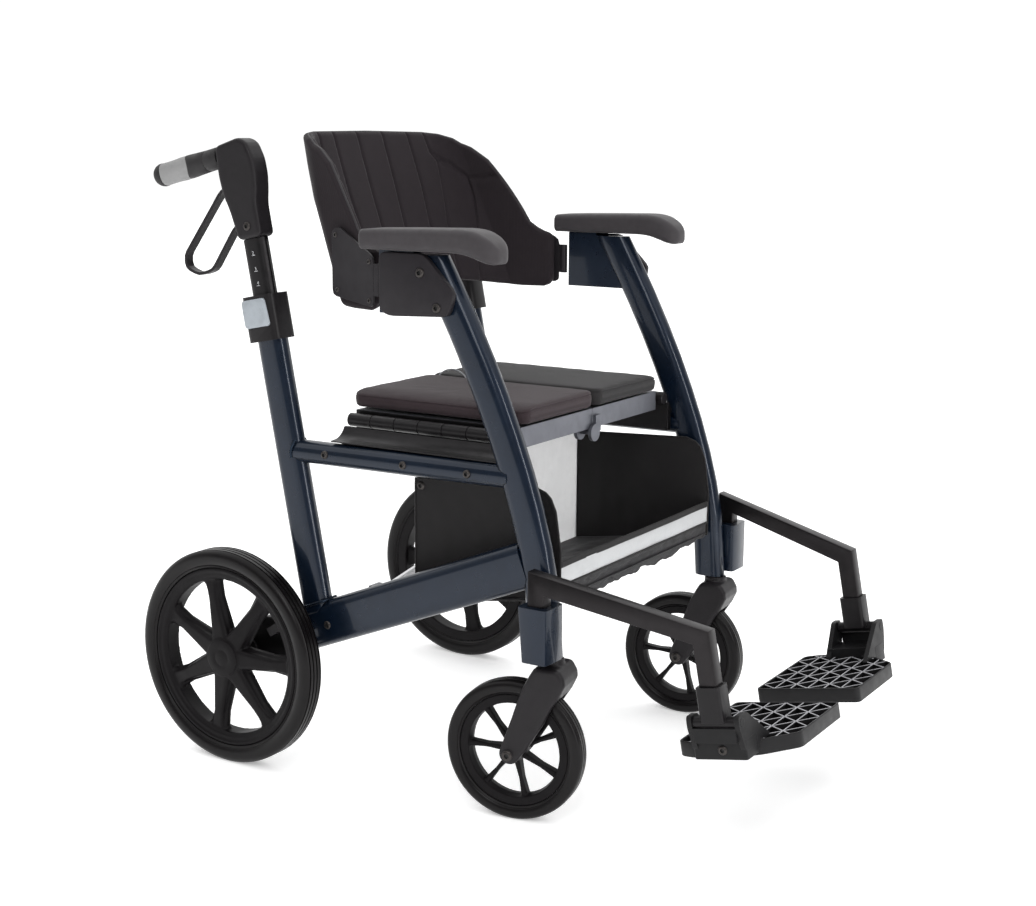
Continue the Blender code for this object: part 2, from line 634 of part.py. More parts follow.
# ---- casters ----------------------------------------------------------------------------------------------
def caster_turn(label, side):
    """The swivel at rest, as a matrix about the stem: both wheels trail, turned a little to the right."""
    stem = place(side * FRAME_X, CASTER_STEM_AHEAD, 0)
    spin = Matrix.Rotation(CASTER_TURN[label], 4, "Z")
    return Matrix.Translation(stem) @ spin @ Matrix.Translation(-stem)


def caster(label, side):
    """Two-armed fork with its stem and axle, and a small seven-spoke wheel."""
    stem = place(side * FRAME_X, CASTER_STEM_AHEAD, 0)
    axle = stem + Vector((0, CASTER_TRAIL, CASTER_R))
    turn = caster_turn(label, side)
    swivel = turn @ place(side * FRAME_X, CASTER_STEM_AHEAD, FORK_CROWN_Z)
    hub = turn @ axle

    def turned_solid(name, bm, paint, origin, **more):
        bmesh.ops.transform(bm, matrix=turn, verts=bm.verts)
        return solid(name, bm, paint, origin, **more)

    def turned_helper(name, bm):
        bmesh.ops.transform(bm, matrix=turn, verts=bm.verts)
        return helper(name, bm, swivel)

    trail, low = -CASTER_TRAIL, CASTER_R
    outline = [(-0.0140, FORK_CROWN_Z), (0.0185, FORK_CROWN_Z), (0.0260, 0.2050), (0.0270, 0.1960), (0.0195, 0.1800)]
    outline += [(0.0083, 0.1631), (-0.0018, 0.1416), (-0.0171, 0.1166), (-0.0290, 0.0985)]
    outline += arc((trail, low), 0.0145, -25, -185, 6)
    outline += [(-0.0536, 0.1240), (-0.0460, 0.1454), (-0.0382, 0.1692), (-0.0310, 0.1880), (-0.0215, 0.2060)]
    bm = bmesh.new()
    slab(bm, outline, -0.0295, 0.0295, stem, FORWARD, UP, ACROSS)
    fork = turned_solid(f"caster_fork_{label}", bm, "black_plastic", swivel, bevel=0.005)
    bm = bmesh.new()
    rod(bm, axle - ACROSS * 0.0195, axle + ACROSS * 0.0195, 0.1030, 32)
    combine(fork, turned_helper(f"fork_slot_{label}", bm), "DIFFERENCE")
    bm = bmesh.new()
    rod(bm, axle - ACROSS * 0.0325, axle + ACROSS * 0.0325, 0.0060, 12)
    combine(fork, turned_helper(f"fork_axle_{label}", bm), "UNION")
    bm = bmesh.new()
    rod(bm, stem + UP * 0.205, stem + UP * 0.258, 0.0060, 12)
    combine(fork, turned_helper(f"fork_stem_{label}", bm), "UNION")
    bm = bmesh.new()
    rod(bm, stem + UP * 0.210, stem + UP * 0.2250, 0.0165, 20)
    combine(fork, turned_helper(f"fork_bearing_{label}", bm), "UNION")

    bm = bmesh.new()
    turned(bm, tyre_profile(CASTER_R, CASTER_RIM_R + GAP, CASTER_TYRE_HALF), axle, ACROSS, 40)
    turned_solid(f"caster_tyre_{label}", bm, "tyre", hub)

    bm = bmesh.new()
    rim = [(0.0640, -0.0110), (CASTER_RIM_R, -0.0110), (CASTER_RIM_R, 0.0110), (0.0640, 0.0110), (0.0620, 0.0)]
    turned(bm, rim, axle, ACROSS, 40)
    wheel = turned_solid(f"caster_rim_{label}", bm, "black_plastic", hub)
    bm = bmesh.new()
    turned(bm, [(0.0064, -0.0180), (0.0140, -0.0180), (0.0165, 0.0), (0.0140, 0.0180), (0.0064, 0.0180)], axle, ACROSS, 20)
    combine(wheel, turned_helper(f"caster_hub_{label}", bm), "UNION")
    bm = bmesh.new()
    for i in range(CASTER_SPOKES):
        angle = 2 * math.pi * (i + 0.25) / CASTER_SPOKES
        spoke(bm, axle, angle, ACROSS, (0.013, 0.040, 0.0655), (0.0040, 0.0028, 0.0042), (0.0090, 0.0070, 0.0080), 0.0)
    combine(wheel, turned_helper(f"caster_spokes_{label}", bm), "UNION")


# ---- footrests --------------------------------------------------------------------------------------------
FOOT_TUBE_TOP = 0.0805
FOOT_INNER = (0.0180, 0.0140)  # the tube that slides inside the hanger
HANGER_END = 0.0520


def hanger_path(side):
    """The hanger's centre line: up out of the socket, forwards and inwards, and down to the foot tube."""
    foot_line = [on_foot(side, FOOT_X, 0, up) for up in (HANGER_END, 0.1415)]
    return [
        place(side * SOCKET_X, SOCKET_AHEAD, 0.2380),
        place(side * SOCKET_X, SOCKET_AHEAD, 0.3330),
        foot_line[1],
        foot_line[0],
    ]


def hanger(label, side):
    """Mitred rectangular tube that drops into the leg's socket and carries the foot tube."""
    path = hanger_path(side)
    section = rounded(HANGER_SECTION[0], HANGER_SECTION[1], 0.0020, 2)
    runs = [(b - a).normalized() for a, b in zip(path, path[1:])]
    rings = []
    for i, point in enumerate(path):
        before, after = runs[max(i - 1, 0)], runs[min(i, len(runs) - 1)]
        along = (before + after).normalized()
        square = along.cross(ACROSS).normalized()
        stretch = 1 / max(0.3, along.dot(after))
        rings.append(ring(section, point, square * stretch, ACROSS))
    bm = bmesh.new()
    loft(bm, rings)
    tube = solid(f"hanger_{label}", bm, "black_alloy", path[0])
    bm = bmesh.new()
    foot_bar(bm, side, rounded(FOOT_INNER[0] + 0.0010, FOOT_INNER[1] + 0.0010, 0.0022, 2), 0.0, 0.1340)
    combine(tube, helper(f"hanger_bore_{label}", bm), "DIFFERENCE")


def foot_bar(bm, side, section, low, high, x=FOOT_X):
    """A prism along the foot tube's axis."""
    bar(bm, on_foot(side, x, 0, low), on_foot(side, x, 0, high), section, FOOT_FORWARD, ACROSS)


def hinge_rod(bm, side, back, front, radius, steps=16):
    """A round bar on the footplate's hinge axis."""
    ends = [on_foot(side, FOOT_HINGE_X, forward, FOOT_HINGE_N) for forward in (back, front)]
    rod(bm, *ends, radius, steps)


def foot_tube(label, side):
    """Collar round the hanger's end, an inner tube up inside it, and the barrel the plate hinges on."""
    bm = bmesh.new()
    foot_bar(bm, side, rounded(0.0325, 0.0290, 0.005, 3), 0.0360, FOOT_TUBE_TOP)
    tube = solid(f"foot_tube_{label}", bm, "black_plastic", on_foot(side, FOOT_X, 0, FOOT_TUBE_TOP))
    bm = bmesh.new()
    cavity = rounded(HANGER_SECTION[0] + 0.0012, HANGER_SECTION[1] + 0.0012, 0.0020, 2)
    foot_bar(bm, side, cavity, 0.0480, 0.10)
    combine(tube, helper(f"collar_cavity_{label}", bm), "DIFFERENCE")
    bm = bmesh.new()
    foot_bar(bm, side, rounded(*FOOT_INNER, 0.0020, 2), 0.0440, 0.1300)
    combine(tube, helper(f"inner_tube_{label}", bm), "UNION")
    bm = bmesh.new()
    hinge_rod(bm, side, -0.0285, 0.0285, 0.0078)
    combine(tube, helper(f"foot_barrel_{label}", bm), "UNION")
    bm = bmesh.new()
    hinge_rod(bm, side, -0.05, 0.05, 0.0036, 12)
    combine(tube, helper(f"foot_pin_bore_{label}", bm), "DIFFERENCE")


def plate_part(bm, side, outline, low, high, across=False):
    """A slab in the footplate's frame: outline in (x, forward), or in (x, up) if it stands across."""
    shape = [(side * x, v) for x, v in outline]
    at = on_foot(side, 0, 0, 0)
    if across:
        slab(bm, shape, low, high, at, ACROSS, FOOT_UP, FOOT_FORWARD)
    else:
        slab(bm, shape, low, high, at, ACROSS, FOOT_FORWARD, FOOT_UP)


def footplate(label, side):
    """Tread plate with an outer block and two gussets that hold the hinge pin."""
    outline = [(0.0320, -0.0750), (0.2060, -0.0750), (0.2140, -0.0520), (0.2090, 0.0050), (0.1970, 0.0350)]
    outline += [(0.1640, 0.0750), (0.0320, 0.0750)]
    bm = bmesh.new()
    plate_part(bm, side, round_corners(outline, 0.006, 2), -0.0200, 0.0)
    plate = solid(f"footplate_{label}", bm, "black_plastic", on_foot(side, FOOT_HINGE_X, 0, FOOT_HINGE_N))
    bm = bmesh.new()
    block_outline = [(0.1980, -0.0360), (0.2400, -0.0360), (0.2400, 0.0360), (0.2040, 0.0360)]
    plate_part(bm, side, block_outline, -0.0130, 0.0120)
    combine(plate, helper(f"plate_block_{label}", bm), "UNION")
    gussets = {
        "fore": [(0.1660, -0.0020), (0.2400, -0.0020), (0.2490, 0.0300), (0.2480, 0.0440), (0.2250, 0.0440)],
        "rear": [(0.1900, -0.0020), (0.2400, -0.0020), (0.2490, 0.0300), (0.2480, 0.0440), (0.2290, 0.0440)],
    }
    for part, low, high in (("fore", 0.0292, 0.0360), ("rear", -0.0360, -0.0292)):
        bm = bmesh.new()
        plate_part(bm, side, gussets[part], low, high, across=True)
        combine(plate, helper(f"plate_{part}_gusset_{label}", bm), "UNION")
    bm = bmesh.new()
    hinge_rod(bm, side, -0.0350, 0.0350, 0.0032, 12)
    combine(plate, helper(f"plate_pin_{label}", bm), "UNION")


# ---- seat -------------------------------------------------------------------------------------------------
def knuckle_spans(moving):
    """Every other stretch of the side hinge; the first and last belong to the fixed rail."""
    step = (HINGE_FRONT - SEAT_BACK) / KNUCKLES
    spans = []
    for i in range(KNUCKLES):
        if (i % 2 == 1) == moving:
            spans.append((SEAT_BACK + i * step + 0.0004, SEAT_BACK + (i + 1) * step - 0.0004))
    return spans


def add_knuckles(obj, label, side, moving, web):
    """Barrels on the side hinge's axis, with the webs that join them to their leaf."""
    kind = "moving" if moving else "fixed"
    for part in ("barrel", "web"):
        bm = bmesh.new()
        for back, front in knuckle_spans(moving):
            if part == "barrel":
                rod(bm, *(place(side * SEAT_HINGE_X, a, SEAT_HINGE_Z) for a in (back, front)), KNUCKLE_R, 14)
            else:
                side_block(bm, side, web[0], (back, front), web[1])
        combine(obj, helper(f"{kind}_{part}_{label}", bm, obj.location), "UNION")


def seat_hinge_rail(label, side):
    """Extrusion bolted on the side rail: the fixed leaf of the seat's side hinge."""
    outline = [(0.2165, 0.4465), (0.2262, 0.4465), (0.2262, 0.4722), (0.2500, 0.4722), (0.2500, 0.4745)]
    outline += [(0.2300, 0.4835), (0.2225, 0.4990), (0.2165, 0.4990)]
    bm = bmesh.new()
    start, end = place(0, SEAT_BACK, 0), place(0, 0.4130, 0)
    section = [(side * x, z) for x, z in outline]
    bar(bm, start, end, section, ACROSS, UP)
    leaf = solid(f"seat_hinge_rail_{label}", bm, "black_alloy")
    add_knuckles(leaf, label, side, False, ((0.2080, 0.2200), (0.4945, 0.4985)))


def seat_frame(label, side):
    """Half of the folding seat: a board on four rails, with its half of the side and centre hinges."""
    hinge = place(side * SEAT_HINGE_X, 0, SEAT_HINGE_Z)
    low, high = 0.4815, 0.5095
    bm = bmesh.new()
    side_block(bm, side, (0.0006, 0.1920), (SEAT_BACK, SEAT_FRONT), (0.5015, high))
    frame = solid(f"seat_frame_{label}", bm, "seat_alloy", hinge)
    rails = {
        "front": ((0.0006, 0.1850), (0.4020, SEAT_FRONT)),
        "rear": ((0.0006, 0.1850), (SEAT_BACK, 0.1700)),
        "outer": ((0.1750, 0.1920), (SEAT_BACK, SEAT_FRONT)),
    }
    for part, (xs, aheads) in rails.items():
        bm = bmesh.new()
        side_block(bm, side, xs, aheads, (low, 0.5050))
        combine(frame, helper(f"seat_{part}_rail_{label}", bm, hinge), "UNION")
    add_knuckles(frame, label, side, True, ((0.1850, 0.2020), (0.4925, 0.5010)))
    lobe_ahead = (0.4195, 0.4245) if side > 0 else (0.3960, 0.4015)
    block_ahead = (0.4150, 0.4245) if side > 0 else (0.3960, 0.4060)
    bm = bmesh.new()
    side_block(bm, side, (0.0012, 0.0150), block_ahead, (0.4765, 0.5000))
    combine(frame, helper(f"centre_arm_{label}", bm, hinge), "UNION")
    bm = bmesh.new()
    rod(bm, place(0, lobe_ahead[0], SEAT_CENTRE_Z), place(0, lobe_ahead[1], SEAT_CENTRE_Z), 0.0125, 20)
    combine(frame, helper(f"centre_lobe_{label}", bm, hinge), "UNION")
    bm = bmesh.new()
    if side > 0:
        rod(bm, place(0, 0.3900, SEAT_CENTRE_Z), place(0, 0.4235, SEAT_CENTRE_Z), 0.0040, 12)
        combine(frame, helper(f"centre_pin_{label}", bm, hinge), "UNION")
    else:
        rod(bm, place(0, 0.3850, SEAT_CENTRE_Z), place(0, 0.4100, SEAT_CENTRE_Z), 0.0045, 12)
        combine(frame, helper(f"centre_pin_bore_{label}", bm, hinge), "DIFFERENCE")


def seat_cushion(label, side):
    """Padded half cushion; its outer top edge is rounded so that it clears the leg as the seat folds."""
    section = [(0.0035, 0.5125), (0.1880, 0.5125), (0.1880, 0.5230), (0.1800, 0.5310), (0.1660, 0.5360)]
    section += [(0.0120, 0.5375), (0.0035, 0.5330)]
    bm = bmesh.new()
    start, end = place(0, 0.1390, 0), place(0, 0.4250, 0)
    bar(bm, start, end, [(side * x, z) for x, z in section], ACROSS, UP)
    solid(f"seat_cushion_{label}", bm, "seat_fabric", place(side * SEAT_HINGE_X, 0, SEAT_HINGE_Z), bevel=0.003)


def pull_strap():
    """Short webbing loop between the cushions, for folding the seat."""
    middle = place(0, 0.1800, 0.5100)
    outer = arc((0, 0), 0.034, 0, 180, 12)
    inner = arc((0, 0), 0.0315, 180, 0, 12)
    outline = [(u, v * 1.05) for u, v in outer + inner]
    bm = bmesh.new()
    slab(bm, outline, 0.0009, 0.0026, middle, FORWARD, UP, ACROSS)
    solid("pull_strap", bm, "webbing", place(SEAT_HINGE_X, 0, SEAT_HINGE_Z))


# ---- lower brace ------------------------------------------------------------------------------------------
BRACE_X, BRACE_Z = 0.2165, 0.262
BRACE_RISE = math.radians(10)


def brace(label, side):
    """Half of the lower folding brace; the halves pass side by side at the middle."""
    aheads = (0.2055, 0.2105) if side > 0 else (0.2125, 0.2175)
    pivot = place(side * BRACE_X, 0, BRACE_Z)
    length = BRACE_X / math.cos(BRACE_RISE)
    outline = arc((0, 0), 0.0085, -90, 90, 5) + arc((-length, 0), 0.0085, 90, 270, 5)
    along = Vector((side * math.cos(BRACE_RISE), 0, -math.sin(BRACE_RISE)))
    upright = Vector((side * math.sin(BRACE_RISE), 0, math.cos(BRACE_RISE)))
    bm = bmesh.new()
    slab(bm, outline, *aheads, pivot, along, upright, FORWARD)
    link = solid(f"brace_{label}", bm, "silver_alloy", pivot)
    bm = bmesh.new()
    rod(bm, place(side * BRACE_X, 0.1980, BRACE_Z), place(side * BRACE_X, 0.2250, BRACE_Z), 0.0032, 12)
    combine(link, helper(f"brace_pin_{label}", bm, pivot), "UNION")


# ---- backrest ---------------------------------------------------------------------------------------------
SHELL_HALF = 0.0078  # half the shell's thickness
SHELL_BASE_Z = 0.752
SHELL_BACK_AHEAD = 0.0890  # the back panel's middle surface at SHELL_BASE_Z
SHELL_LEAN = 0.458  # how far back the panel goes for each metre up
SHELL_BOW = 0.010  # how far the panel's middle lies behind its corners at the top
SHELL_SAG = 0.14  # and how much further for each metre down from the top
SHELL_INSET = 0.0085  # from the side hinge's axis in to the wing's middle surface
WING_TOE = 0.26  # how far the wings close in for each metre back
WING_FRONT_AHEAD = 0.2180


def wing_toe(z):
    """The wings close in a little more near the top."""
    return WING_TOE + max(0.0, z - 0.80) * 0.85


# Along the shell, 0 is the middle of the back and 1 is the wing's front edge.
SHELL_SHARES = (0.0, 0.15, 0.30, 0.43, 0.50, 0.56, 0.62, 0.68, 0.74, 0.79, 0.84, 0.89, 0.94, 1.0)
SHELL_ROWS = 6
TOP_EDGE = (
    (0.0, 0.8910), (0.50, 0.8895), (0.62, 0.8868), (0.70, 0.8805), (0.76, 0.8680),
    (0.80, 0.8480), (0.85, 0.8000), (0.90, 0.7540), (0.94, 0.7420), (1.0, 0.7370),
)
BOTTOM_EDGE = ((0.0, 0.6830), (0.20, 0.6755), (0.40, 0.6650), (0.60, 0.6570), (0.80, 0.6535), (1.0, 0.6530))


def between(table, x):
    """Straight-line interpolation in a table of (x, y) pairs."""
    for (x0, y0), (x1, y1) in zip(table, table[1:]):
        if x <= x1:
            return y0 + (y1 - y0) * (x - x0) / (x1 - x0)
    return table[-1][1]


def shell_point(share, z):
    """The shell's middle surface: (x, ahead). The back is nearly flat, with a tight bend into each wing."""
    back = SHELL_BACK_AHEAD - (z - SHELL_BASE_Z) * SHELL_LEAN
    toe = wing_toe(z)
    corner_x = BACK_PIN_X - SHELL_INSET - (BACK_PIN_AHEAD - back) * toe
    front_x = corner_x + (WING_FRONT_AHEAD - back) * toe
    sag = SHELL_SAG * (TOP_EDGE[0][1] - z)
    reach = abs(share)

    def on_back(r):
        return Vector((corner_x * r / 0.62, back - sag + (SHELL_BOW + sag) * (r / 0.62) ** 2))

    def on_wing(r):
        t = 0.22 + 0.78 * (r - 0.74) / 0.26
        return Vector((corner_x + (front_x - corner_x) * t, back + (WING_FRONT_AHEAD - back) * t))

    if reach <= 0.50:
        point = on_back(reach)
    elif reach >= 0.74:
        point = on_wing(reach)
    else:
        t = (reach - 0.50) / 0.24
        knee = Vector((corner_x, back + SHELL_BOW))
        point = on_back(0.50) * (1 - t) ** 2 + knee * 2 * t * (1 - t) + on_wing(0.74) * t**2
    return Vector((math.copysign(point.x, share), point.y))


def shell_normal(share, z):
    """Towards the sitter's back."""
    step = 0.01
    along = shell_point(min(share + step, 1.0), z) - shell_point(max(share - step, -1.0), z)
    return Vector((-along.y, along.x)).normalized()


def back_shell():
    """The wrap-around backrest: a thin padded sheet whose plan is a shallow U, leaning back."""
    shares = [-share for share in SHELL_SHARES[:0:-1]] + list(SHELL_SHARES)
    rings = []
    for share in shares:
        low, high = between(BOTTOM_EDGE, abs(share)), between(TOP_EDGE, abs(share))
        sides = []
        for face in (1, -1):
            column = []
            for k in range(SHELL_ROWS + 1):
                z = low + (high - low) * k / SHELL_ROWS
                point = shell_point(share, z) + shell_normal(share, z) * face * SHELL_HALF
                column.append(place(point.x, point.y, z))
            sides.append(column)
        rings.append(sides[0] + sides[1][::-1])
    bm = bmesh.new()
    loft(bm, rings)
    solid("back_shell", bm, "back_fabric", bevel=0.004, bevel_steps=2)


def back_plate(label, side):
    """Mounting plate riveted outside the shell's wing, with its knuckle and pin in the bracket's hinge."""
    outline = [(0.1340, 0.6700), (0.2150, 0.6600), (0.2205, 0.6640), (0.2205, 0.7270), (0.1750, 0.7500)]
    outline += [(0.1480, 0.7640), (0.1340, 0.7580)]
    bm = bmesh.new()
    toe = math.atan(WING_TOE)
    along = Vector((side * math.sin(toe), -math.cos(toe), 0))
    out = Vector((side * math.cos(toe), math.sin(toe), 0))
    pin = place(side * BACK_PIN_X, BACK_PIN_AHEAD, 0)
    stretch = 1 / math.cos(toe)
    local = [((a - BACK_PIN_AHEAD) * stretch, z) for a, z in round_corners(outline, 0.008, 2)]
    slab(bm, local, 0.0030, 0.0058, pin, along, UP, out)
    plate = solid(f"back_plate_{label}", bm, "black_plastic", pin)
    low, high = 0.6750, 0.7180
    bm = bmesh.new()
    strip = [(-0.0180, low), (-0.0010, low), (-0.0010, high), (-0.0180, high)]
    slab(bm, strip, 0.0030, 0.0055, pin, along, UP, out)
    combine(plate, helper(f"plate_leaf_{label}", bm, pin), "UNION")
    bm = bmesh.new()
    rod(bm, pin + UP * low, pin + UP * high, 0.0055)
    combine(plate, helper(f"plate_knuckle_{label}", bm, pin), "UNION")


# ---- bag --------------------------------------------------------------------------------------------------
BAG_X = 0.2185
BAG_WALL = 0.003
BAG_SIDE = [
    (0.2680, 0.2560), (0.4990, 0.2930), (0.4990, 0.3450), (0.4930, 0.4050), (0.4800, 0.4330), (0.4600, 0.4400),
    (0.2680, 0.4310),
]


def bag():
    """Open fabric bag under the seat: floor, two sides, a taller rear panel and a low front band."""
    floor = [(0.2680, 0.2560), (0.4990, 0.2930), (0.4990, 0.2965), (0.2680, 0.2595)]
    rear = [(0.2680, 0.2560), (0.2710, 0.2560), (0.2710, 0.4750), (0.2680, 0.4750)]
    front = [(0.4960, 0.2930), (0.4990, 0.2930), (0.4990, 0.3450), (0.4960, 0.3450)]
    base = place(0, 0, 0)
    bm = bmesh.new()
    slab(bm, floor, -BAG_X, BAG_X, base, FORWARD, UP, ACROSS)
    whole = solid("bag", bm, "bag_fabric")
    panels = {
        "rear_panel": (rear, -BAG_X + 0.012, BAG_X - 0.012),
        "front_band": (front, -BAG_X, BAG_X),
        "right_side": (BAG_SIDE, -BAG_X, -BAG_X + BAG_WALL),
        "left_side": (BAG_SIDE, BAG_X - BAG_WALL, BAG_X),
    }
    for name, (outline, low, high) in panels.items():
        bm = bmesh.new()
        slab(bm, outline, low, high, base, FORWARD, UP, ACROSS)
        combine(whole, helper(f"bag_{name}", bm), "UNION")


# ---- the whole chair --------------------------------------------------------------------------------------
PAIRED = (
    rear_post, side_rail, lower_tube, front_leg, back_bracket, bracket_cover, armrest_pad,
    handle_collar, height_button, handle_tube, handle_head, grip, brake_lever,
    rear_wheel, axle_carrier, brake_shoe, caster,
    hanger, foot_tube, footplate,
    seat_hinge_rail, seat_frame, seat_cushion, brace, back_plate,
)


def main():
    clear_scene()
    for build in PAIRED:
        for label, side in SIDES.items():
            build(label, side)
    pull_strap()
    back_shell()
    bag()


main()
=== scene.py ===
"""The looks of the folding rollator and transport chair: materials, soft pieces, wheels and light."""

from math import atan, atan2, ceil, copysign, cos, exp, pi, radians, sin, sqrt

import bmesh
import bpy
from mathutils import Matrix, Vector, noise


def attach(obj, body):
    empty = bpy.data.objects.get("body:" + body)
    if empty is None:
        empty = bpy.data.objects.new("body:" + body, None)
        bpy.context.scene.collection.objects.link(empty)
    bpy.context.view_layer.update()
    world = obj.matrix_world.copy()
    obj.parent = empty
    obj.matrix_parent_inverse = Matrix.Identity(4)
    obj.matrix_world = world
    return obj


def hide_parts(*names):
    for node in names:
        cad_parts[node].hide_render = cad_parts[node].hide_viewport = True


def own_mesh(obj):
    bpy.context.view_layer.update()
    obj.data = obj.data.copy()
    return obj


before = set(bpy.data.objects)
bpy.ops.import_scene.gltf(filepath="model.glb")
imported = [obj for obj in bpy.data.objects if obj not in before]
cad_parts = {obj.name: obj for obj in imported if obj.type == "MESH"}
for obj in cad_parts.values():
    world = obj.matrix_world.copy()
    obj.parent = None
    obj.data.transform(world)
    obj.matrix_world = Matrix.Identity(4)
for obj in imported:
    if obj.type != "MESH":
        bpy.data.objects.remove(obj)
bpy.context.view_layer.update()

SIDES = {"right": -1, "left": 1}
UP = Vector((0, 0, 1))
FORWARD = Vector((0, -1, 0))
ACROSS = Vector((1, 0, 0))

AXLE_Y = 0.3277  # the rear axle's Y; places are given as distances ahead of it
FRAME_X = 0.243  # middle of the side frames' tubes
POST_LEAN = atan(0.1944)
POST_UP = Vector((0, sin(POST_LEAN), cos(POST_LEAN)))
POST_BACK = Vector((0, cos(POST_LEAN), -sin(POST_LEAN)))
FOOT_TILT = radians(11.0)
FOOT_FORWARD = Vector((0, -cos(FOOT_TILT), sin(FOOT_TILT)))
FOOT_UP = Vector((0, sin(FOOT_TILT), cos(FOOT_TILT)))
CASTER_TURN = {"right": radians(10.0), "left": radians(4.5)}
REAR_WHEEL_X, REAR_WHEEL_RADIUS = 0.2976, 0.155
STEM_AHEAD, CASTER_TRAIL, CASTER_RADIUS = 0.502, 0.0492, 0.095


def place(x, ahead, z):
    """The point this far from the middle plane, ahead of the rear axle, and above the floor."""
    return Vector((x, AXLE_Y - ahead, z))


def on_post(side, back, up, x=0.0):
    """A point in the rear post's frame: behind its axis, up along it, and x outwards from its middle."""
    return place(side * FRAME_X, 0.0468, 0.5977) + POST_UP * up + POST_BACK * back + ACROSS * side * x


def on_foot(side, x, forward, up):
    """A point in the footrest's leaning frame."""
    return place(side * x, 0.7406, 0.1486) + FOOT_FORWARD * forward + FOOT_UP * up


def mm(*rows):
    """Rows of millimetres as tuples of metres."""
    return [tuple(number / 1000 for number in row) for row in rows]


# ---- materials ----
def add_node(tree, kind, inputs, **settings):
    """Adds a node. inputs gives a socket its value, or the output that feeds it."""
    made = tree.nodes.new(kind)
    for name, value in settings.items():
        setattr(made, name, value)
    for socket, value in inputs.items():
        if isinstance(value, bpy.types.NodeSocket):
            tree.links.new(value, made.inputs[socket])
        else:
            made.inputs[socket].default_value = value
    return made.outputs


class Look:
    """Builds one procedural material, a layer at a time. Sizes are in metres."""

    def __init__(self, name, colour, roughness, **principled):
        self.made = bpy.data.materials.new(name)
        self.made.use_nodes = True
        self.shader = self.made.node_tree.nodes["Principled BSDF"].inputs
        self.shader["Roughness"].default_value = roughness
        for socket, value in principled.items():
            self.shader[socket.replace("_", " ")].default_value = value
        self.base = colour
        self.colour = self.plain(colour)
        self.normal = None
        self.coords = self.add("TexCoord", {})["Object"]

    def add(self, kind, inputs, **settings):
        return add_node(self.made.node_tree, f"ShaderNode{kind}", inputs, **settings)

    def plain(self, colour):
        output = self.add("RGB", {})[0]
        output.default_value = (*colour, 1.0)
        return output

    def feed(self, output, socket):
        self.made.node_tree.links.new(output, self.shader[socket])

    def noise(self, size, detail=3.0):
        inputs = {"Vector": self.coords, "Scale": 1.0 / size, "Detail": detail}
        return self.add("TexNoise", inputs)["Fac"]

    def steps(self, value, low, high, out_low=0.0, out_high=1.0):
        """Maps low..high to out_low..out_high, and holds the ends beyond."""
        limits = {"From Min": low, "From Max": high, "To Min": out_low, "To Max": out_high}
        return self.add("MapRange", {**limits, "Value": value})["Result"]

    def multiply(self, a, b):
        return self.add("Math", {0: a, 1: b}, operation="MULTIPLY")["Value"]

    def bevel(self, radius):
        return self.add("Bevel", {"Radius": radius}, samples=4)["Normal"]

    def tint(self, share, colour):
        """Mixes another colour in where share is high."""
        inputs = {"Factor": share, "A": self.colour, "B": self.plain(colour)}
        self.colour = self.add("Mix", inputs, data_type="RGBA")["Result"]
        return self

    def mottle(self, size, amount):
        """Uneven colour: cloudy patches of this size, lighter and darker by amount."""
        cloud = self.steps(self.noise(size), 0.35, 0.65)
        self.tint(cloud, [c * (1 + amount) for c in self.base])
        spots = self.steps(self.noise(size * 0.31), 0.45, 0.75)
        return self.tint(spots, [c * (1 - amount) for c in self.base])

    def bump(self, height, depth):
        inputs = {"Height": height, "Strength": 1.0, "Distance": depth}
        if self.normal:
            inputs["Normal"] = self.normal
        self.normal = self.add("Bump", inputs)["Normal"]
        return self

    def grain(self, size, depth):
        """Fine moulded or cast grain, which also breaks up the gloss."""
        rough = self.shader["Roughness"].default_value
        cloud = self.noise(size * 24)
        self.feed(self.steps(cloud, 0.3, 0.7, rough * 0.88, rough * 1.12), "Roughness")
        return self.bump(self.noise(size, 2.0), depth)

    def weave(self, pitch, depth, axes, dark):
        """Crossed threads along two of the axes, with gaps that are dark times the cloth's colour."""
        inputs = {"Vector": self.coords, "Scale": 0.314 / pitch, "Distortion": 0.6, "Detail": 1.0}
        threads = [self.add("TexWave", inputs, bands_direction=axis)["Fac"] for axis in axes]
        cloth = self.multiply(*threads)
        self.tint(self.steps(cloth, 0.0, 0.5, 0.6, 0.0), [c * dark for c in self.base])
        return self.bump(cloth, depth)

    def soften(self, radius):
        """Rounds the shading over edges."""
        self.normal = self.bevel(radius)
        return self

    def wear_and_highlight(self, radius, colour, strength):
        """Edges rubbed to another colour, in patches: partly wear, partly a painted highlight along the
        edges.
        """
        normals = {0: self.bevel(radius), 1: self.add("NewGeometry", {})["Normal"]}
        facing = self.add("VectorMath", normals, operation="DOT_PRODUCT")["Value"]
        edge = self.steps(facing, 0.98, 0.8, 0.0, strength)
        return self.tint(self.multiply(edge, self.noise(0.012)), colour)

    def done(self):
        self.feed(self.colour, "Base Color")
        if self.normal:
            self.feed(self.normal, "Normal")
        return self.made


def frame_paint():
    look = Look("slate_blue_paint", (0.0046, 0.0104, 0.0225), 0.3, Metallic=0.4, Coat_Weight=0.3,
                Coat_Roughness=0.06, Specular_IOR_Level=0.3)
    return look.mottle(0.09, 0.1).soften(0.0012).grain(0.0006, 0.00001).done()


def plastic(name, shade, roughness=0.46, grain=0.00003, gloss=0.2):
    look = Look(name, shade, roughness, Specular_IOR_Level=gloss)
    look.mottle(0.035, 0.09).soften(0.0009)
    # lighter edges: partly wear, partly a painted highlight
    return look.wear_and_highlight(0.0012, [c * 2.2 + 0.02 for c in shade], 0.5).grain(0.0008, grain).done()


def satin_metal(name, shade, roughness):
    look = Look(name, shade, roughness, Metallic=0.85, Anisotropic=0.3)
    look.mottle(0.05, 0.08).soften(0.001)
    # lighter edges: partly wear, partly a painted highlight
    return look.wear_and_highlight(0.0013, [min(0.8, c * 2.4 + 0.02) for c in shade], 0.5).grain(0.0005, 0.000012).done()


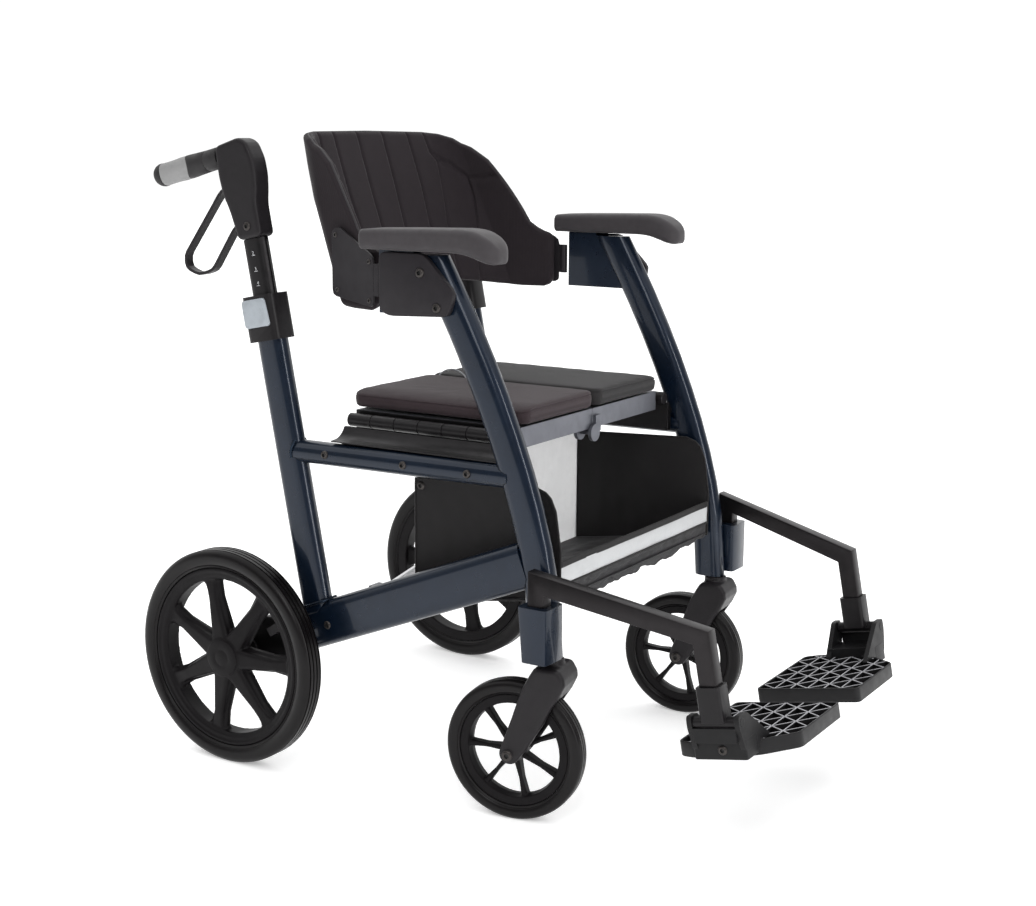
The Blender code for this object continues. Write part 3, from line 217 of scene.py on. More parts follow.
def rubber(name, shade, roughness, gloss, patches, grain, sheen=0.0):
    """Rubber or skinned foam; patches and grain are (size, strength) pairs."""
    look = Look(name, shade, roughness, Specular_IOR_Level=gloss, Sheen_Weight=sheen)
    return look.mottle(*patches).grain(*grain).done()


def sleeve_rubber(name, shade):
    return rubber(name, shade, 0.62, 0.35, (0.02, 0.05), (0.0009, 0.00005))


def cloth(name, shade, roughness, gloss, sheen, patches, weave, **principled):
    """Woven cloth; sheen is (weight, roughness), patches (size, strength), weave what Look.weave takes."""
    look = Look(name, shade, roughness, Specular_IOR_Level=gloss, Sheen_Weight=sheen[0],
                Sheen_Roughness=sheen[1], **principled)
    return look.mottle(*patches).weave(*weave).done()


def cushion_cloth(name, shade):
    return cloth(name, shade, 0.78, 0.25, (0.15, 0.4), (0.04, 0.09), (0.0011, 0.00016, "XY", 0.72))


def bag_cloth(name, shade, axes, roughness=0.7, **principled):
    weave = (0.0012, 0.00016, axes, 0.72)
    return cloth(name, shade, roughness, 0.35, (0.08, 0.4), (0.045, 0.05), weave, **principled)


PAINTS = {
    "frame": frame_paint(),
    "black": plastic("black_plastic", (0.008, 0.007, 0.008)),
    "wheel": plastic("wheel_plastic", (0.005, 0.0042, 0.0049), 0.48, 0.00002, 0.13),
    "collar": plastic("collar_plastic", (0.0095, 0.0085, 0.0095), 0.36),
    "cover": plastic("cover_plastic", (0.015, 0.013, 0.0155), 0.46),
    "head": plastic("head_plastic", (0.013, 0.0115, 0.013), 0.4),
    "tread": plastic("footplate_plastic", (0.009, 0.0088, 0.0095), 0.46),
    # light grey rib tops: a painted highlight along the ribs, partly wear
    "rib": plastic("footplate_rib_tops_highlight", (0.36, 0.36, 0.38), 0.42),
    "light": plastic("button_plastic", (0.33, 0.36, 0.39), 0.42, 0.00001),
    "alloy": satin_metal("black_alloy", (0.02, 0.019, 0.02), 0.38),
    "hanger": satin_metal("hanger_coating", (0.022, 0.02, 0.021), 0.34),
    "seat_alloy": satin_metal("seat_alloy", (0.14, 0.145, 0.165), 0.42),
    "silver": satin_metal("silver_alloy", (0.5, 0.5, 0.51), 0.36),
    "steel": satin_metal("dark_steel", (0.05, 0.045, 0.043), 0.34),
    "hole": Look("socket_shadow", (0.004, 0.004, 0.004), 0.6).mottle(0.01, 0.3).done(),
    "weld": satin_metal("painted_weld", (0.014, 0.022, 0.036), 0.28),
    "tyre": rubber("tyre_rubber", (0.004, 0.0032, 0.0036), 0.34, 0.2, (0.045, 0.14), (0.0011, 0.00002)),
    "sleeve": sleeve_rubber("grip_black", (0.016, 0.015, 0.016)),
    "grip": sleeve_rubber("grip_grey", (0.25, 0.25, 0.25)),
    "foam": rubber("armrest_foam", (0.036, 0.032, 0.035), 0.62, 0.25, (0.03, 0.08), (0.0007, 0.00007), 0.1),
    "cushion_right": cushion_cloth("cushion_brown", (0.033, 0.0215, 0.025)),
    "cushion_left": cushion_cloth("cushion_dark", (0.019, 0.0175, 0.0185)),
    "back": cloth("backrest_knit", (0.0185, 0.0145, 0.017), 0.82, 0.15, (0.1, 0.35), (0.05, 0.08),
                  (0.0013, 0.0001, "XZ", 0.88)),
    # the binding's lighter tone is a painted highlight along the backrest's edge ridge
    "seam": bag_cloth("binding_painted_highlight", (0.03, 0.027, 0.03), "XZ"),
    "bag": bag_cloth("bag_nylon", (0.0052, 0.0042, 0.0048), "YZ"),
    "bag_floor": bag_cloth("bag_mesh", (0.022, 0.021, 0.023), "XY", 0.6),
    "bag_rear": bag_cloth("bag_silver", (0.94, 0.94, 0.95), "XZ", 0.45, Subsurface_Weight=1.0,
                          Subsurface_Radius=(1.0, 1.0, 1.0), Subsurface_Scale=0.02),
    "strip": bag_cloth("reflective_strip", (0.62, 0.63, 0.64), "XZ", 0.4),
    "webbing": bag_cloth("strap_webbing", (0.4, 0.41, 0.43), "YZ"),
    "ink": Look("scale_ink", (0.6, 0.61, 0.63), 0.5).mottle(0.01, 0.1).done(),
}


# ---- outlines and meshes ----
def arc(centre, radius, start, end, steps):
    angles = [radians(start + (end - start) * i / steps) for i in range(steps + 1)]
    return [(centre[0] + radius * cos(a), centre[1] + radius * sin(a)) for a in angles]


def circle(radius, steps):
    return arc((0.0, 0.0), radius, 0, 360 - 360 / steps, steps - 1)


def rounded(width, height, radius, steps=6):
    points = []
    for corner, (sx, sy) in enumerate(((1, 1), (-1, 1), (-1, -1), (1, -1))):
        middle = (sx * (width / 2 - radius), sy * (height / 2 - radius))
        points += arc(middle, radius, 90 * corner, 90 * corner + 90, steps)
    return points


def round_corners(outline, radius, steps=5):
    """The outline with each corner cut by a short curve."""
    points = []
    for i, here in enumerate(outline):
        here = Vector(here)
        before, after = Vector(outline[i - 1]), Vector(outline[(i + 1) % len(outline)])
        cut = min(radius, (before - here).length * 0.45, (after - here).length * 0.45)
        first = here + (before - here).normalized() * cut
        last = here + (after - here).normalized() * cut
        for k in range(steps + 1):
            t = k / steps
            points.append(tuple(first * (1 - t) ** 2 + here * 2 * t * (1 - t) + last * t**2))
    return points


def pairs(points):
    """Each point of a closed outline with the next one."""
    return zip(points, points[1:] + points[:1])


def spread(points, gap):
    """The closed outline with points no further apart than gap."""
    found = []
    for a, b in pairs(points):
        a, b = Vector(a), Vector(b)
        count = max(1, ceil((b - a).length / gap))
        found += [tuple(a.lerp(b, k / count)) for k in range(count)]
    return found


def ring(section, centre, u_axis, v_axis):
    return [centre + u_axis * u + v_axis * v for u, v in section]


def loft(bm, rings, closed=False, paints=None):
    """Skins a row of rings, and caps its ends unless it is closed. paints has each band's material."""
    loops = [[bm.verts.new(point) for point in points] for points in rings]
    bands = list(pairs(loops)) if closed else list(zip(loops, loops[1:]))
    paints = paints or [0] * len(bands)
    for (low, high), paint in zip(bands, paints):
        for i in range(len(low)):
            j = (i + 1) % len(low)
            bm.faces.new((low[i], low[j], high[j], high[i])).material_index = paint
    if not closed:
        for end in (0, -1):
            bm.faces.new(loops[end]).material_index = paints[end]


def slab(bm, outline, low, high, at, u_axis, v_axis, w_axis):
    loft(bm, [ring(outline, at + w_axis * w, u_axis, v_axis) for w in (low, high)])


def side_axes(axis):
    first = axis.orthogonal().normalized()
    return first, axis.cross(first)


def rod(bm, start, end, radius, steps=24):
    axis = (end - start).normalized()
    first, second = side_axes(axis)
    loft(bm, [ring(circle(radius, steps), point, first, second) for point in (start, end)])


def turned(bm, profile, centre, axis, steps):
    """A closed profile of (radius, along the axis) turned round the axis into a ring."""
    first, second = side_axes(axis)
    rings = []
    for i in range(steps):
        angle = 2 * pi * i / steps
        out = first * cos(angle) + second * sin(angle)
        rings.append([centre + out * r + axis * along for r, along in profile])
    loft(bm, rings, closed=True)


def cord_along(bm, points, radius, steps=10, closed=False, swell=None):
    """A round cord through the points, without a twist; swell(i, point) makes it thicker or thinner."""
    rings = []
    first = None
    for i, here in enumerate(points):
        before = points[i - 1] if i or closed else here
        after = points[(i + 1) % len(points)] if i + 1 < len(points) or closed else here
        along = (after - before).normalized()
        if first is None:
            first = along.orthogonal().normalized()
        first = (first - along * first.dot(along)).normalized()
        size = radius * swell(i, here) if swell else radius
        rings.append(ring(circle(size, steps), here, first, along.cross(first)))
    loft(bm, rings, closed=closed)


# ---- pieces ----
def add_object(name, data):
    obj = bpy.data.objects.new(name, data)
    bpy.context.scene.collection.objects.link(obj)
    return obj


def piece(name, bm, paints, body, nodes=(), sharp=35):
    """A new visible piece in place of CAD nodes, or beside them."""
    bmesh.ops.remove_doubles(bm, verts=bm.verts, dist=1e-6)
    bmesh.ops.recalc_face_normals(bm, faces=bm.faces)
    mesh = bpy.data.meshes.new(name)
    bm.to_mesh(mesh)
    bm.free()
    mesh.shade_smooth()
    if sharp:
        mesh.set_sharp_from_angle(angle=radians(sharp))
    for paint in paints.split():
        mesh.materials.append(PAINTS[paint])
    obj = add_object(name, mesh)
    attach(obj, body)
    if nodes:
        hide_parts(*nodes)
    return obj


def moulded(obj, voxel, rounds):
    """Rounds every edge and inner corner, as a moulding or casting has them."""
    remesh = obj.modifiers.new("skin", "REMESH")
    remesh.mode = "VOXEL"
    remesh.voxel_size = voxel
    relax = obj.modifiers.new("relax", "SMOOTH")
    relax.factor = 0.5
    relax.iterations = rounds
    graph = bpy.context.evaluated_depsgraph_get()
    mesh = bpy.data.meshes.new_from_object(obj.evaluated_get(graph))
    obj.modifiers.clear()
    paints = list(obj.data.materials)
    obj.data = mesh
    mesh.materials.clear()
    for paint in paints:
        mesh.materials.append(paint)
    mesh.shade_smooth()


def moulded_copy(node, paint, body, voxel, rounds):
    """A softened copy of a CAD node, shown in its place."""
    bm = bmesh.new()
    bm.from_mesh(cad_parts[node].data)
    moulded(piece(f"moulded_{node}", bm, paint, body, (node,)), voxel, rounds)


def smoothing():
    """A node group that welds a CAD mesh's facets and shades them smooth, except over real edges."""
    group = bpy.data.node_groups.new("smooth_shading", "GeometryNodeTree")
    for way in ("INPUT", "OUTPUT"):
        group.interface.new_socket("Geometry", in_out=way, socket_type="NodeSocketGeometry")
    mesh = add_node(group, "NodeGroupInput", {})[0]
    mesh = add_node(group, "GeometryNodeMergeByDistance", {0: mesh, "Distance": 0.00002})[0]
    mesh = add_node(group, "GeometryNodeSetShadeSmooth", {0: mesh})[0]
    angle = add_node(group, "GeometryNodeInputMeshEdgeAngle", {})["Unsigned Angle"]
    limit = {0: angle, 1: radians(32)}
    gentle = add_node(group, "FunctionNodeCompare", limit, operation="LESS_THAN")[0]
    edges = {0: mesh, "Shade Smooth": gentle}
    mesh = add_node(group, "GeometryNodeSetShadeSmooth", edges, domain="EDGE")[0]
    add_node(group, "NodeGroupOutput", {0: mesh})
    return group


def dress(node, paint, outer_paint="", beyond=1.0):
    """Gives a kept CAD node its material; faces further out than beyond get the outer one."""
    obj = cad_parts[node]
    mesh = obj.data
    mesh.materials.clear()
    for name in filter(None, (paint, outer_paint)):
        mesh.materials.append(PAINTS[name])
    for face in mesh.polygons:
        face.material_index = int(all(abs(mesh.vertices[i].co.x) > beyond for i in face.vertices))
    obj.modifiers.new("smooth", "NODES").node_group = SMOOTHING


SMOOTHING = smoothing()
KEPT = {  # the CAD nodes that each paint goes on, one of each kind per side
    "frame": ("rear_post", "side_rail", "lower_tube", "front_leg", "back_bracket"),
    "cover": ("bracket_cover", "back_plate"),
    "alloy": ("handle_tube",),
    "head": ("brake_lever",),
    "hanger": ("hanger",),
    "silver": ("brace",),
    "black": ("brake_shoe",),
    "collar": ("foot_tube", "handle_collar"),
}
MOULDED = {  # node: paint, body, voxel size, rounds of smoothing
    "handle_head": ("head", "handle", 0.0012, 8),
    "axle_carrier": ("alloy", "frame", 0.0013, 4),
    "caster_fork": ("head", "caster_fork", 0.0012, 10),
}
SEAT_ALLOY_HALF = 0.1849  # the bare middle part of the seat frame ends here


SCREW_PROFILE = (  # radius and height as shares, and whether the ring is a hexagon
    (1.0, -0.4, False), (1.0, 0.35, False), (0.86, 0.78, False), (0.62, 1.0, False),
    (0.44, 1.0, True), (0.4, 0.15, True), (0.02, 0.15, False),
)


def screw(bm, centre, normal, radius, height, steps=24):
    """A button-head screw with a hexagon socket; the socket takes the second material."""
    first, second = side_axes(normal)
    rings = []
    for share, rise, hexagon in SCREW_PROFILE:
        points = []
        for i in range(steps):
            angle = 2 * pi * i / steps
            flat = cos((angle + pi / 6) % (pi / 3) - pi / 6)
            reach = radius * share / (flat if hexagon else 1.0)
            out = first * reach * cos(angle) + second * reach * sin(angle)
            points.append(centre + out + normal * height * rise)
        rings.append(points)
    loft(bm, rings, paints=[0, 0, 0, 0, 1, 1])


def screws(name, spots, body, radius, height):
    """Screws at (centre, normal) spots, as one piece."""
    bm = bmesh.new()
    for centre, normal in spots:
        screw(bm, centre, normal, radius, height)
    return piece(name, bm, "steel hole", body)


# ---- wheels ----
def tyre_section(outer, inner, half, grooves, width, depth):
    """A solid tyre's section: bead lip, round shoulders, and a tread with running grooves."""
    tall = outer - inner
    shares = (  # how far up the side, and how wide there
        (0.0, 0.78), (0.1, 0.9), (0.16, 0.86), (0.24, 0.95),
        (0.48, 1.0), (0.7, 0.985), (0.85, 0.9), (0.95, 0.77),
    )
    shoulder = [(inner + tall * up, wide) for up, wide in shares]
    low = [(r, -half * share) for r, share in shoulder]
    high = [(r, half * share) for r, share in reversed(shoulder)]
    tread = []
    for middle in grooves:
        tread += [(outer, middle - width * 0.62), (outer - depth, middle - width * 0.38)]
        tread += [(outer - depth, middle + width * 0.38), (outer, middle + width * 0.62)]
    return low + tread + high


def spokes(bm, centre, axis, turn, stations, count=7):
    """Tapering spokes; the stations are (radius, half width, half depth, offset along the axis)."""
    for i in range(count):
        out = Matrix.Rotation(2 * pi * (i + turn) / count, 3, axis) @ UP
        rings = []
        for radius, half, depth, offset in stations:
            section = rounded(2 * half, 2 * depth, min(half, depth) * 0.8, 4)
            rings.append(ring(section, centre + out * radius + axis * offset, axis.cross(out), axis))
        loft(bm, rings)


def tyre(kind, label, centre, out, body, section, steps):
    bm = bmesh.new()
    turned(bm, tyre_section(*section), centre, out, steps)
    piece(f"{kind}_tyre_{label}_grooved", bm, "tyre", body, (f"{kind}_tyre_{label}",), sharp=45)


def rim(kind, label, centre, out, body, rings, turn, spoke_rows, voxel, rounds):
    """The rim and the hub, given as (profile, steps), with spokes between; every edge is rounded."""
    bm = bmesh.new()
    for profile, steps in rings:
        turned(bm, profile, centre, out, steps)
    for stations in spoke_rows:
        spokes(bm, centre, out, turn, stations)
    obj = piece(f"{kind}_rim_{label}_moulded", bm, "wheel", body, (f"{kind}_rim_{label}",))
    moulded(obj, voxel, rounds)


def rear_wheel(label, side):
    wheel = label, place(side * REAR_WHEEL_X, 0, REAR_WHEEL_RADIUS), ACROSS * side, f"{label}_rear_wheel"
    grooves = (-0.0105, -0.0035, 0.0035, 0.0105)
    tyre("rear", *wheel, (REAR_WHEEL_RADIUS, 0.1303, 0.018, grooves, 0.002, 0.0022), 160)
    outer = mm((112.5, -15), (130, -15), (130, 14), (125.5, 15), (123, 13.2), (117, 12.8), (112.5, 9))
    hub = mm((6, -8.5), (26, -8.5), (30, 0), (30, 15), (27, 18), (6, 18))
    web = mm((18, 19, 8.5, 1), (45, 16, 7, 0), (85, 12.8, 5.2, 0), (106, 15, 5.2, 0), (118, 22.5, 6.6, 0))
    crest = mm((18, 16.5, 8, 9), (45, 12.8, 7.2, 8), (85, 8.8, 6, 5.6), (105, 9.8, 5, 4.2),
               (116, 15, 4, 3.5))
    rim("rear", *wheel, ((outer, 120), (hub, 64)), 0.28, (web, crest), 0.0014, 5)
    cap = mm((0.5, 17.6), (26.8, 17.6), (26.8, 18.6), (25.5, 19.2), (13, 20), (11.8, 19.6), (10.6, 20.1),
             (0.5, 20.2))
    _, centre, out, body = wheel
    bm = bmesh.new()
    turned(bm, cap, centre, out, 64)
    piece(f"rear_hub_cap_{label}", bm, "wheel", body, sharp=50)


def caster_place(label, side):
    """From the caster wheel's own frame, hub at zero and axle along X, to the chair at rest."""
    stem = Matrix.Translation(place(side * FRAME_X, STEM_AHEAD, 0))
    turn = Matrix.Rotation(CASTER_TURN[label], 4, "Z")
    return stem @ turn @ Matrix.Translation((0, CASTER_TRAIL, CASTER_RADIUS))


def caster_wheel(label, side):
    at = caster_place(label, side)
    centre, out = at.translation, at.to_3x3() @ ACROSS
    wheel = label, centre, out, f"{label}_caster_wheel"
    tyre("caster", *wheel, (CASTER_RADIUS, 0.0766, 0.0148, (-0.0065, 0.0, 0.0065), 0.0016, 0.0014), 128)
    outer = mm((64.5, -11), (76.3, -11), (76.3, 11), (64.5, 11), (62.5, 0))
    hub = mm((5.5, -17.8), (14, -17.8), (16.5, 0), (14, 17.8), (5.5, 17.8))
    web = mm((10, 4.2, 9, 0), (40, 2.6, 6.8, 0), (66.5, 4.6, 8, 0))
    rim("caster", *wheel, ((outer, 96), (hub, 40)), 0.25, (web,), 0.0009, 4)
    for end in (-1, 1):
        where = "outer" if end == side else "inner"
        spot = (centre + out * end * 0.0325, out * end)
        screws(f"caster_axle_{label}_{where}", [spot], f"{label}_caster_fork", 0.0072, 0.0024)


# ---- soft pieces ----
def cushion(label, side):
    """Foam cushion in a sewn cover: boxed sides, a seam under the top edge, and a slightly crowned top."""
    x0, x1, back, front = 0.0035, 0.188, 0.139, 0.425
    middle = place(side * (x0 + x1) / 2, (back + front) / 2, 0)
    outline = spread(rounded(x1 - x0, front - back, 0.014, 8), 0.004)
    levels = mm(  # how far in from the outline, and the height
        (12, 512.5), (4, 513.1), (1.2, 515.5), (0.4, 520), (0, 524), (0.2, 529), (1.6, 530.4), (2, 531.2),
        (0.8, 532.4), (1.6, 534.2), (4.2, 535.8), (9.5, 536.6), (18, 537), (30, 537.2), (45, 537.4),
    )
    rings = [[cushion_point(middle, u, v, inset, z, side) for u, v in outline] for inset, z in levels]
    last = rings[-1]
    for share, z in ((0.75, 0.5375), (0.5, 0.5375), (0.25, 0.5374), (0.02, 0.5374)):
        spots = [middle + (p - middle) * share for p in last]
        rings.append([Vector((p.x, p.y, z)) for p in spots])
    bm = bmesh.new()
    loft(bm, rings)
    for vert in bm.verts:
        if vert.co.z > 0.533:
            vert.co.z += 0.0005 * noise.noise(vert.co * 34) + 0.0003 * noise.noise(vert.co * 90)
    name = f"cushion_{label}"
    obj = piece(name, bm, name, f"{label}_seat", (f"seat_{name}",), sharp=0)


def cushion_point(middle, u, v, inset, z, side):
    """A point of the cushion's outline moved inwards; the outer top edge slopes down for the folding gap."""
    reach = Vector((u, v)).length
    u, v = u * (1 - inset / reach), v * (1 - inset / reach)
    outwards = max(0.0, u * side - 0.06) / 0.032
    drop = 0.0065 * min(1.0, outwards) ** 2 * max(0.0, (z - 0.524) / 0.0135)
    return middle + Vector((u, v, z - drop))


def armrest(label, side):
    """Self-skinned foam pad, flat behind and drooping to a rounded nose in front."""
    stations = mm(  # ahead, lower and upper height, half width
        (219, 743, 760, 22), (219.7, 740.5, 763, 25.2), (221.5, 739.3, 764.5, 26.8), (225, 739, 765.3, 27.5),
        (260, 739, 766.8, 27.5), (300, 739, 768, 27.5), (340, 739.2, 769, 27.5), (368, 739, 769.6, 27.5),
        (385, 736.8, 769, 27.3), (398, 732.8, 766.6, 26.6), (408, 729.2, 762.8, 25.3), (416, 727, 758, 23.2),
        (421.5, 726.4, 753.3, 20), (425.2, 727.2, 748.8, 15.8), (427.5, 729.8, 744.8, 10.8),
        (428.3, 733.8, 741.2, 5),
    )
    rings = []
    for ahead, low, high, half in fine_stations(stations, 3):
        centre = place(side * 0.248, ahead, (low + high) / 2)
        section = rounded(2 * half, high - low, min(half, (high - low) / 2) * 0.62, 6)
        rings.append(ring(section, centre, ACROSS, UP))
    bm = bmesh.new()
    loft(bm, rings)
    obj = piece(f"armrest_{label}", bm, "foam", f"{label}_frame", (f"armrest_pad_{label}",), sharp=0)


def fine_stations(stations, count):
    """Stations with more in between, along a smooth curve."""
    fine = []
    last = len(stations) - 1
    for i in range(last):
        a, b, c, d = (stations[min(max(k, 0), last)] for k in (i - 1, i, i + 1, i + 2))
        for step in range(count):
            t = step / count
            fine.append(tuple(
                q + ((r - p) * t + (2 * p - 5 * q + 4 * r - s) * t**2 + (3 * q - p - 3 * r + s) * t**3) / 2
                for p, q, r, s in zip(a, b, c, d)
            ))
    return fine + [stations[-1]]


def grip(label, side):
    """Two-colour grip: black root sleeve, grey palm sleeve with waved ends, and a domed black cap."""
    start, end = on_post(side, 0.0365, 0.2676), on_post(side, 0.16, 0.2622)
    axis = (end - start).normalized()
    second = axis.cross(ACROSS)
    length = (end - start).length
    stations = [  # mm along, mm radius, how much the wave moves it, band paint (0 black, 1 grey)
        (0, 14.2, 0, 0), (1.2, 15.1, 0, 0), (23, 15, 0, 0), (23.8, 14.3, 0, 0), (24.6, 15.1, 0, 0),
        (40, 15.7, 0.3, 0), (50, 16.3, 0.7, 0), (56, 16.5, 1, 0), (57.2, 16, 1, 1), (58.4, 16.3, 1, 1),
        (70, 16.5, 0.5, 1), (85, 15.8, 0, 1), (100, 15.7, 0.1, 1), (107, 16.1, 0.4, 1),
        (108.2, 15.7, 0.4, 0), (109.4, 16.4, 0.4, 0), (113, 16.3, 0.2, 0), (117, 15.4, 0, 0),
        (120.5, 13.3, 0, 0), (122.6, 9.8, 0, 0), (length * 1000 - 0.2, 5, 0, 0), (length * 1000, 1, 0, 0),
    ]
    rings = []
    for along, radius, wave, _ in stations:
        points = []
        for k in range(48):
            angle = 2 * pi * k / 48
            shift = 0.0045 * wave * cos(2 * angle)
            out = second * cos(angle) + ACROSS * sin(angle)
            points.append(start + axis * (along / 1000 + shift) + out * radius / 1000)
        rings.append(points)
    bm = bmesh.new()
    loft(bm, rings, paints=[band for *_, band in stations[:-1]])
    piece(f"grip_{label}_sleeves", bm, "sleeve grip", f"{label}_handle", (f"grip_{label}",), sharp=50)


def height_button(label, side):
    """Push button with two curved grip lines near its front edge."""
    outline = mm((-18.5, 27), (25.5, 27), (25.5, 66), (-16, 66))
    outline = spread(round_corners(outline, 0.006, 6), 0.002)
    middle = Vector((0.004, 0.0465))
    at, out = on_post(side, 0, 0), ACROSS * side
    crown = (  # the outline's share, and how far out it stands
        (1.0, 0.018), (1.0, 0.0232), (0.985, 0.0238), (0.955, 0.0241),
        (0.6, 0.02425), (0.3, 0.0243), (0.02, 0.0243),
    )
    rings = []
    for share, x in crown:
        section = [tuple(middle + (Vector(p) - middle) * share) for p in outline]
        rings.append(ring(section, at + out * x, POST_BACK, POST_UP))
    bm = bmesh.new()
    loft(bm, rings)
    body = f"{label}_height_button"
    piece(f"button_{label}", bm, "light", body, (f"height_button_{label}",), sharp=50)
    bm = bmesh.new()
    for shift in (0.0, 0.0045):
        line = arc((0.008 - shift, 0.0465), 0.015, 156, 204, 12)
        cord_along(bm, ring(line, at + out * 0.0242, POST_BACK, POST_UP), 0.00055, 8)
    piece(f"button_ridges_{label}", bm, "light", body)


# ---- backrest ----
SHELL_HALF = 0.0078  # half the padded shell's thickness
SHELL_REACH = 0.31  # from the middle of the back to a wing's front edge, along the surface
PIN_X, PIN_AHEAD = 0.238, 0.229  # the back plates' hinge
BEND_START, BEND_END = 0.5, 0.74  # between these shares the back turns into the wing
WING_TOE = 0.26  # how much the wings close in towards the front, per metre
TOP_EDGE = (
    (0.0, 0.891), (0.5, 0.8895), (0.62, 0.8868), (0.7, 0.8805), (0.76, 0.868),
    (0.8, 0.848), (0.85, 0.8), (0.9, 0.754), (0.94, 0.742), (0.98, 0.737), (1.0, 0.731),
)
BOTTOM_EDGE = (
    (0.0, 0.683), (0.2, 0.6755), (0.4, 0.665), (0.6, 0.657),
    (0.8, 0.6535), (0.94, 0.6535), (0.975, 0.657), (1.0, 0.666),
)


def between(table, x):
    """Straight-line interpolation in a table of (x, y) pairs."""
    for (x0, y0), (x1, y1) in zip(table, table[1:]):
        if x <= x1:
            return y0 + (y1 - y0) * (x - x0) / (x1 - x0)
    return table[-1][1]


def shell_point(share, z):
    """The shell's middle surface: (x, ahead). 0 is the middle of the back and 1 the wing's front edge."""
    back = 0.089 - (z - 0.752) * 0.458
    toe = WING_TOE + max(0.0, z - 0.8) * 0.85
    corner = PIN_X - 0.0085 - (PIN_AHEAD - back) * toe
    front = corner + (0.218 - back) * toe
    sag = 0.14 * (0.891 - z)
    reach = abs(share)

    def on_back(r):
        return Vector((corner * r / 0.62, back - sag + (0.01 + sag) * (r / 0.62) ** 2))

    def on_wing(r):
        t = 0.22 + 0.78 * (r - BEND_END) / (1 - BEND_END)
        return Vector((corner + (front - corner) * t, back + (0.218 - back) * t))

    if reach <= BEND_START:
        point = on_back(reach)
    elif reach >= BEND_END:
        point = on_wing(reach)
    else:
        t = (reach - BEND_START) / (BEND_END - BEND_START)
        knee = Vector((corner, back + 0.01))
        point = on_back(BEND_START) * (1 - t) ** 2 + knee * 2 * t * (1 - t) + on_wing(BEND_END) * t**2
    return Vector((copysign(point.x, share), point.y))


def shell_normal(share, z):
    along = shell_point(min(share + 0.01, 1.0), z) - shell_point(max(share - 0.01, -1.0), z)
    return Vector((-along.y, along.x)).normalized()


BACK_SEAMS = [  # each a row of (share, z) points
    [(0.12, 0.9), (0.092, 0.75), (0.08, 0.67)],
    [(0.35, 0.9), (0.28, 0.75), (0.25, 0.66)],
    [(0.5, 0.9), (0.485, 0.872), (0.48, 0.858), (0.505, 0.846), (0.45, 0.798), (0.4, 0.746), (0.36, 0.66)],
    [(0.505, 0.846), (0.6, 0.842), (0.68, 0.82)],
    [(0.475, 0.86), (0.56, 0.846), (0.64, 0.832), (0.69, 0.82), (0.75, 0.819), (0.83, 0.828)],
    [(0.685, 0.818), (0.665, 0.79), (0.6, 0.746), (0.52, 0.7), (0.48, 0.66)],
]


def seam_gap(share, z):
    """How far a point of the shell lies from the nearest seam, in metres along the surface."""
    spot = Vector((abs(share) * SHELL_REACH, z))
    nearest = 1.0
    for seam in BACK_SEAMS:
        for (s0, z0), (s1, z1) in zip(seam, seam[1:]):
            a, b = Vector((s0 * SHELL_REACH, z0)), Vector((s1 * SHELL_REACH, z1))
            t = max(0.0, min(1.0, (spot - a).dot(b - a) / (b - a).length_squared))
            nearest = min(nearest, (spot - a.lerp(b, t)).length)
    return nearest


def ripple(x, y, z):
    return noise.noise(Vector((x, y, z)))


def shell_face(share, t, face):
    """A point of the padded shell's front (1) or rear (-1) face, t of the way up."""
    low, high = between(BOTTOM_EDGE, abs(share)), between(TOP_EDGE, abs(share))
    z = low + (high - low) * t
    edge = min(t, 1 - t) * (high - low)
    edge = min(edge, (1 - abs(share)) * SHELL_REACH)
    thick = SHELL_HALF * sqrt(max(0.0, 1 - max(0.0, 1 - edge / 0.0075) ** 2))
    if face > 0:
        gap = seam_gap(share, z)
        thick -= 0.0034 * exp(-((gap / 0.0022) ** 2)) * min(1.0, edge / 0.006)
        thick -= 0.0011 * exp(-gap / 0.007)
    thick -= 0.0003 * (1 + ripple(share * 9, z * 30, face * 5))
    point = shell_point(share, z) + shell_normal(share, z) * face * max(0.0002, thick)
    return place(point.x, point.y, z)


def backrest():
    """Padded cover with sewn channels that fan down the middle and panels on the wings."""
    columns, rows = 320, 76
    heights = [0.5 - 0.5 * cos(pi * (0.06 + 0.88 * k / rows)) for k in range(rows + 1)]
    lowest, highest = heights[0], heights[-1]
    heights = [(h - lowest) / (highest - lowest) for h in heights]
    rings = []
    for i in range(columns + 1):
        share = -1 + 2 * i / columns
        front = [shell_face(share, t, 1) for t in heights]
        rear = [shell_face(share, t, -1) for t in reversed(heights)]
        rings.append(front + rear)
    bm = bmesh.new()
    loft(bm, rings)
    cover = piece("backrest_cover", bm, "back", "left_frame", ("back_shell",), sharp=0)
    fold(cover, *BACK_FOLD)
    bm = bmesh.new()
    edge = [shell_edge(-1 + 2 * i / 160, True) for i in range(161)]
    edge += [shell_edge(1 - 2 * i / 160, False) for i in range(161)]
    # the cord's lighter paint is a painted highlight along the edge
    cord_along(bm, edge, 0.0021, 10, closed=True)
    binding = piece("backrest_binding", bm, "seam", "left_frame", sharp=0)
    fold(binding, *BACK_FOLD)


def shell_edge(share, top):
    """The shell's rim, a little inside its outline."""
    z = between(TOP_EDGE, abs(share)) - 0.0021 if top else between(BOTTOM_EDGE, abs(share)) + 0.0021
    reach = max(-0.992, min(0.992, share))
    point = shell_point(reach, z)
    return place(point.x, point.y, z)


BACK_FOLD = (PIN_X, 0.586)  # where the left frame holds it, and the width's share that stays
BAG_FOLD = (0.2185, 0.549)


def fold(obj, anchor, keep):
    """The piece spans the two frames; here it only gets its own copy of its mesh."""
    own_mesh(obj)


